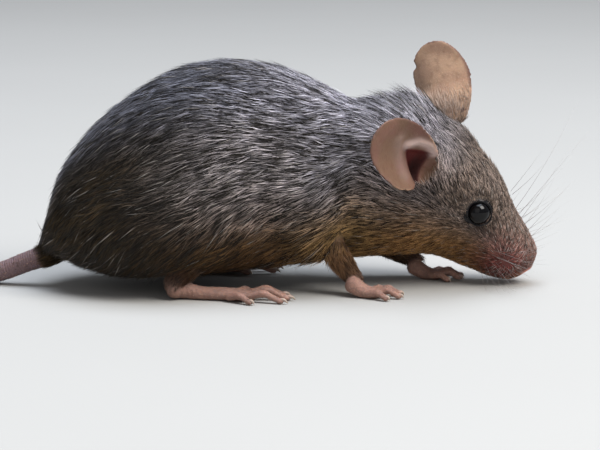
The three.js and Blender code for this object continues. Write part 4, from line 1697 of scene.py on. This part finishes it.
        return points, along, np.broadcast_to(strand[:, None], (*points.shape[:2], 2))

    @staticmethod
    def kinds(roots: Roots, own: np.ndarray) -> np.ndarray:
        """Which tufts are black (0), plain (0.5) or pale (1), by a random number of their own."""
        facial = smoothstep(0.6, 0.74, roots.told["share"])
        pale = 0.984 - 0.07 * facial * smoothstep(20.0, 25.0, in_head(roots.at)[:, 0])
        kind = np.where(own < 0.2 - 0.12 * facial, 0.0, np.where(own > pale, 1.0, 0.5))
        return np.where(roots.told["body"] > 0.4, kind, 0.5)

    def spine(self, roots: Roots, way: np.ndarray, middle: np.ndarray, length: np.ndarray,
              lift: np.ndarray) -> list[np.ndarray]:
        """The points in the middle of tufts, one row a tuft at each station.

        Args:
            roots: Where they grow.
            way: The way each points.
            middle: The root of each tuft's lock, which it leans towards.
            length: The length of each.
            lift: How far each stands off the skin, in radians.

        Returns:
            The points of each station, from the root outwards.
        """
        eared = roots.told["ear"] > 0.5
        embed = 0.12 + 0.02 * length
        curve = self.rng.uniform(0.25, 0.6, len(length))
        gather = 0.55 * (middle - roots.at)
        gather -= roots.normal * np.sum(gather * roots.normal, axis=1, keepdims=True)
        limit = 0.3 * length / np.maximum(np.linalg.norm(gather, axis=1), EMPTY)
        gather *= np.where(eared, 0, np.minimum(1, limit))[:, None]
        side = np.cross(way, roots.normal)
        wobble = self.rng.normal(0, 0.05, len(length)) * ~eared
        found = []
        for t in np.linspace(0, 1, self.stations):
            ahead = length * t * np.cos(lift * (1 - 0.3 * t))
            high = length * np.sin(lift) * (t - curve * t * t) - embed * (1 - t) ** 2
            high = high - (length * t) ** 2 / self.sag
            line = roots.at + way * ahead[:, None] + roots.normal * high[:, None]
            line = line + gather * t**1.3 + side * (wobble * length * t * t)[:, None]
            line[:, 2] = np.maximum(line[:, 2], self.floor)
            found.append(line)
        return found

    def tones(self, roots: Roots, own: np.ndarray, shared: np.ndarray) -> np.ndarray:
        """How light tufts are, from 0 to 1, by the numbers that are their own and their lock's."""
        told, rise = roots.told, roots.told["rise"]
        calm = smoothstep(0.45, 0.7, told["share"])
        patch = 0.16 * waves(roots.at, 2.4, 31) * (told["body"] > 0.4) * (1 - 0.7 * calm)
        tone = 0.42 * self.rng.random(len(own)) + 0.58 * shared + patch
        ends = 0.35 * smoothstep(0.0, -0.6, rise) + 0.25 * smoothstep(0.7, 0.98, rise)
        tone = np.clip(0.5 + (tone - 0.5) * (1 - np.maximum(0.3 * calm, ends)), 0, 1)
        return np.where(told["ear"] > 0.5, 0.45 + 0.25 * own, tone)

    @staticmethod
    def ruffled(points: np.ndarray) -> np.ndarray:
        """How far the hair stands off: most at the nape and behind the roots of the ears."""
        nape = bump_at(in_head(points), (2.6, 2.2, 4.4), (2.5, 4.4, 3.6))
        collars = sum(bump_at(points, ear.spot(0.04, 0.0, -1.6), 2.2) for ear in EARS)
        return np.clip(nape + 0.8 * collars, 0, 1)

    def piece(self, name: str, roots: Roots, lines: tuple[np.ndarray, ...],
              material: bpy.types.Material) -> None:
        """One piece of the coat, with its baking map and attributes."""
        points, along, strand = self.tufts(roots, *lines)
        count, size = points.shape[:2]
        faces = tuft_faces(self.stations)
        plain = 0.6 * np.maximum(smoothstep(1.5, 0.6, roots.told["length"]), roots.told["ear"])[:, None]
        starts = (np.arange(count) * size)[:, None, None]
        obj = self.shop.object_of(name, points.reshape(-1, 3), (faces[None] + starts).reshape(-1, 3))
        banded = plain + (1 - plain) * along
        strands = np.concatenate([banded[..., None], strand], axis=2)
        self.shop.note(obj, "strand", strands.reshape(-1, 3))
        self.shop.note(obj, "marking", np.repeat(roots.told["marking"], size, axis=0))
        across = np.tile([-0.5, 0.5, 0.1], self.stations - 1).tolist() + [0.0]
        down = along - np.where(np.arange(size) == 2, 0.3, 0)
        patch = self.patch * np.stack([across, down - 0.5], axis=1)
        spots = roots.spot[:, None] + patch[None]
        layer = obj.data.uv_layers.new(name="OFBake")
        layer.data.foreach_set("uv", spots[:, faces.ravel()].astype(np.float32).ravel())
        self.shop.finish(obj, material, "coat")

    def build(self, material: bpy.types.Material) -> None:
        """Every piece of the coat."""
        self.unwrap()
        roots = self.grow()
        way = self.lie(roots)
        middle, shared = self.locks(roots, way)
        told = roots.told
        side = np.where(told["share"] > 0.6, in_head(roots.at)[:, 1], roots.at[:, 1])
        body = told["body"] > 0.5
        pieces = []
        for region, low, high in self.regions:
            for sign, side_name in SIDE_NAMES.items():
                inside = body & (told["share"] >= low) & (told["share"] < high) & (side * sign > 0)
                pieces.append((f"coat_{region}_{side_name}", inside))
        limbs = ~body & (told["limb"] > 0.5)
        pieces += [("coat_limbs", limbs), ("coat_ears_and_tail", ~body & ~limbs)]
        for name, picked in pieces:
            lines = (way[picked], middle[picked], shared[picked])
            self.piece(name, roots.only(picked), lines, material)


def round_eyes(points: np.ndarray) -> np.ndarray:
    """1 close round the eyes and 0 away from them."""
    gaps = [np.linalg.norm(points - eye.centre(), axis=1) - eye.radius for eye in EYES]
    return sum(np.exp(-((gap / 0.9) ** 2)) for gap in gaps)


def tuft_faces(stations: int) -> np.ndarray:
    """The triangles of a closed three-sided tuft whose last station is its tip."""
    faces = [(0, 1, 2)]
    tip = 3 * (stations - 1)
    for ring in range(stations - 2):
        for i in range(3):
            a, b = 3 * ring + i, 3 * ring + (i + 1) % 3
            faces += [(a, a + 3, b + 3), (a, b + 3, b)]
    faces += [(tip - 3 + i, tip, tip - 3 + (i + 1) % 3) for i in range(3)]
    return np.array(faces)


# ---- claws and whiskers --------------------------------------------------------------------------


def strands_of(shop: Workshop, name: str, lines: list[np.ndarray], around: int, step: float,
               material: bpy.types.Material, slot: str) -> None:
    """One piece of tapered rods, with the attribute `along`.

    Args:
        shop: Makes the piece.
        name: Its name.
        lines: Each rod's rows of [x, y, z, radius].
        around: How many points a ring has.
        step: The distance between rings.
        material: Its finish.
        slot: The record's material slot.
    """
    tubes = [rod(line, Kind.BODY, around, step, along=lambda s: s) for line in lines]
    obj = shop.object_of(name, *joined(tubes))
    along = [np.broadcast_to(tube.fields["along"], tube.points.shape[:2]).ravel() for tube in tubes]
    shop.note(obj, "along", np.concatenate(along))
    shop.finish(obj, material, slot)


@dataclass
class Claws:
    """The claws of all four feet.

    Attributes:
        around: How many points a ring has.
        step: The distance between rings.
    """

    around: int = 10
    step: float = 0.12

    def build(self, shop: Workshop, material: bpy.types.Material) -> None:
        """One piece with a claw on each toe."""
        lines = [rows for limb in LIMBS for rows in limb.claws()]
        strands_of(shop, "claws", lines, self.around, self.step, material, "bare_skin")


@dataclass
class Whiskers:
    """The whiskers of both pads, and the few hairs over each eye.

    Attributes:
        radius: The radius of a whisker's root.
        floor: How close to the floor a whisker may come.
        brows: Each hair over an eye as its root and its way in the head's frame.
        brow_length: The length of those.
        around: How many points a ring has.
        step: The distance between rings.
        rng: Where its random numbers come from.
    """

    radius: float = 0.031
    floor: float = 0.25
    brows: tuple[tuple[Triple, Triple], ...] = (
        ((19.3, 3.0, 4.7), (-0.1, 0.5, 1.0)),
        ((19.8, 2.7, 4.6), (0.25, 0.35, 1.0)),
    )
    brow_length: float = 6.5
    around: int = 6
    step: float = 0.8
    rng: np.random.Generator = field(default_factory=lambda: np.random.default_rng(SEED + 1))

    def lines(self) -> list[np.ndarray]:
        """Each whisker's rows, from its root to its point."""
        found = []
        for side in SIDE_NAMES:
            for row in range(PAD_ROWS):
                low = row / (PAD_ROWS - 1)
                for column in range(PAD_COLUMNS):
                    back = column / (PAD_COLUMNS - 1)
                    root = on_side((25.9 - 3.6 * back, 2.0 + 1.3 * back, -0.7 - 2.9 * low - 0.5 * back), side)
                    turn = np.radians(82 - 98 * low + 10 * (back - 0.5))
                    way = on_side((np.cos(turn), 0.45 + 0.75 * back, np.sin(turn)), side)
                    length = (6.5 + 10 * back) * (1.0 - 0.45 * low) * self.rng.uniform(0.85, 1.15)
                    found.append(self.strand(root, way, length, 0.1 * side))
            for root, way in self.brows:
                found.append(self.strand(on_side(root, side), on_side(way, side), self.brow_length, 0.0))
        return found

    def strand(self, root: np.ndarray, way: np.ndarray, length: float, sweep: float) -> np.ndarray:
        """One whisker that bends back and down a little.

        Args:
            root: Its root in the head's frame.
            way: The way it starts, in the head's frame.
            length: Its length.
            sweep: How far it bends sideways, as a share of its length.

        Returns:
            Its rows of [x, y, z, radius].
        """
        way = unit(way + self.rng.normal(0, 0.06, 3))
        bend = np.array([-0.1, sweep, 0.08]) + self.rng.normal(0, 0.05, 3)
        share = np.linspace(0, 1, 7)[:, None]
        points = on_head(root - 0.4 * way + length * (share * way + share**2 * bend))
        points[:, 2] = np.maximum(points[:, 2], self.floor)
        radius = self.radius * (1 - 0.82 * share) * (0.7 + length / 40)
        return np.concatenate([points, radius], axis=1)

    def build(self, shop: Workshop, material: bpy.types.Material) -> None:
        """One piece with all of them."""
        strands_of(shop, "whiskers", self.lines(), self.around, self.step, material, "coat")


# ---- stage --------------------------------------------------------------------------------------


@dataclass(frozen=True)
class Lamp:
    """A square soft light that looks at the mouse.

    Attributes:
        name: Its name.
        at: Its place in metres.
        size: The length of a side, in metres.
        power: Its power in watts.
        colour: Its colour.
        target: Where it looks, in metres.
    """

    name: str
    at: Triple
    size: float
    power: float
    colour: Triple
    target: Triple = (0.01, -0.01, 0.015)

    def hang(self) -> None:
        """Puts it in the scene."""
        data = bpy.data.lights.new(self.name, "AREA")
        data.size, data.energy, data.color = self.size, self.power, self.colour
        lamp = bpy.data.objects.new(self.name, data)
        bpy.context.scene.collection.objects.link(lamp)
        lamp.location = self.at
        aim = Vector(np.array(self.target) - np.array(self.at))
        lamp.rotation_mode = "QUATERNION"
        lamp.rotation_quaternion = aim.to_track_quat("-Z", "Y")


@dataclass
class Stage:
    """The floor, the lights and the camera.

    Attributes:
        offset: Moves the maker's frame to the row's.
        camera_at: The camera's place in the maker's frame, in mm.
        elevation: How far it looks down, in degrees.
        lens: Its focal length, in mm.
        sensor: The width of its sensor, in mm.
        sky: The colour of the light from all round.
        sky_strength: The strength of that light.
        lamps: The lights.
    """

    offset: np.ndarray
    camera_at: Triple = (9.59, -345.0, 69.5)
    elevation: float = 10.0
    lens: float = 149.8
    sensor: float = 36.0
    sky: Triple = (0.9, 0.93, 1.0)
    sky_strength: float = 0.3
    lamps: tuple[Lamp, ...] = (
        Lamp("key", (0.40, -0.30, 0.55), 0.38, 6.0, (1.0, 0.98, 0.95)),
        Lamp("sky", (0.02, 0.02, 0.75), 0.6, 8.0, (0.80, 0.88, 1.0)),
        Lamp("fill", (-0.2, -1.1, 0.5), 0.9, 1.6, (1.0, 0.97, 0.93)),
    )

    def build(self) -> None:
        """Sets the stage."""
        bpy.ops.object.select_all(action="DESELECT")
        bpy.ops.mesh.primitive_plane_add(size=8.0)
        floor = bpy.context.object
        floor.name = "floor"
        floor.data.materials.append(FloorFinish().material())
        for lamp in self.lamps:
            lamp.hang()
        world = bpy.data.worlds.new("studio")
        world.use_nodes = True
        background = world.node_tree.nodes["Background"]
        background.inputs["Color"].default_value = (*self.sky, 1.0)
        background.inputs["Strength"].default_value = self.sky_strength
        bpy.context.scene.world = world
        bpy.context.scene.view_settings.view_transform = "Standard"
        self.camera()

    def camera(self) -> None:
        """The camera, which looks along +Y and down."""
        data = bpy.data.cameras.new("camera")
        data.lens, data.sensor_width = self.lens, self.sensor
        data.clip_start, data.clip_end = 0.01, 20.0
        camera = bpy.data.objects.new("camera", data)
        bpy.context.scene.collection.objects.link(camera)
        camera.location = (np.array(self.camera_at) + self.offset) * MM
        camera.rotation_euler = (np.radians(90 - self.elevation), 0, 0)
        bpy.context.scene.camera = camera


FLESH = ("trunk", "neck", "head", "hindleg_right", "hindleg_left", "foreleg_right", "foreleg_left",
         "hindfoot_right", "hindfoot_left", "forefoot_right", "forefoot_left", "tail_base", "tail_middle",
         "tail_tip", "ear_right", "ear_left")


def main() -> None:
    """Builds the mouse piece by piece."""
    logging.basicConfig(level=logging.INFO, format="%(message)s")
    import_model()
    low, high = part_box("eye_right")
    offset = (np.array(low) + np.array(high)) / 2 / MM - EYES[0].centre()
    shop = Workshop(offset)
    skin = Skin(shop).build()
    Coat(shop, skin).build(CoatFinish().material())
    shop.finish(skin, SkinFinish().material(), "bare_skin", *FLESH)
    wet = EyeFinish().material()
    for eye in EYES:
        eye.build(shop, wet)
    Claws().build(shop, HornFinish().material())
    Whiskers().build(shop, WhiskerFinish().material())
    Stage(offset).build()


if __name__ == "__main__":
    main()
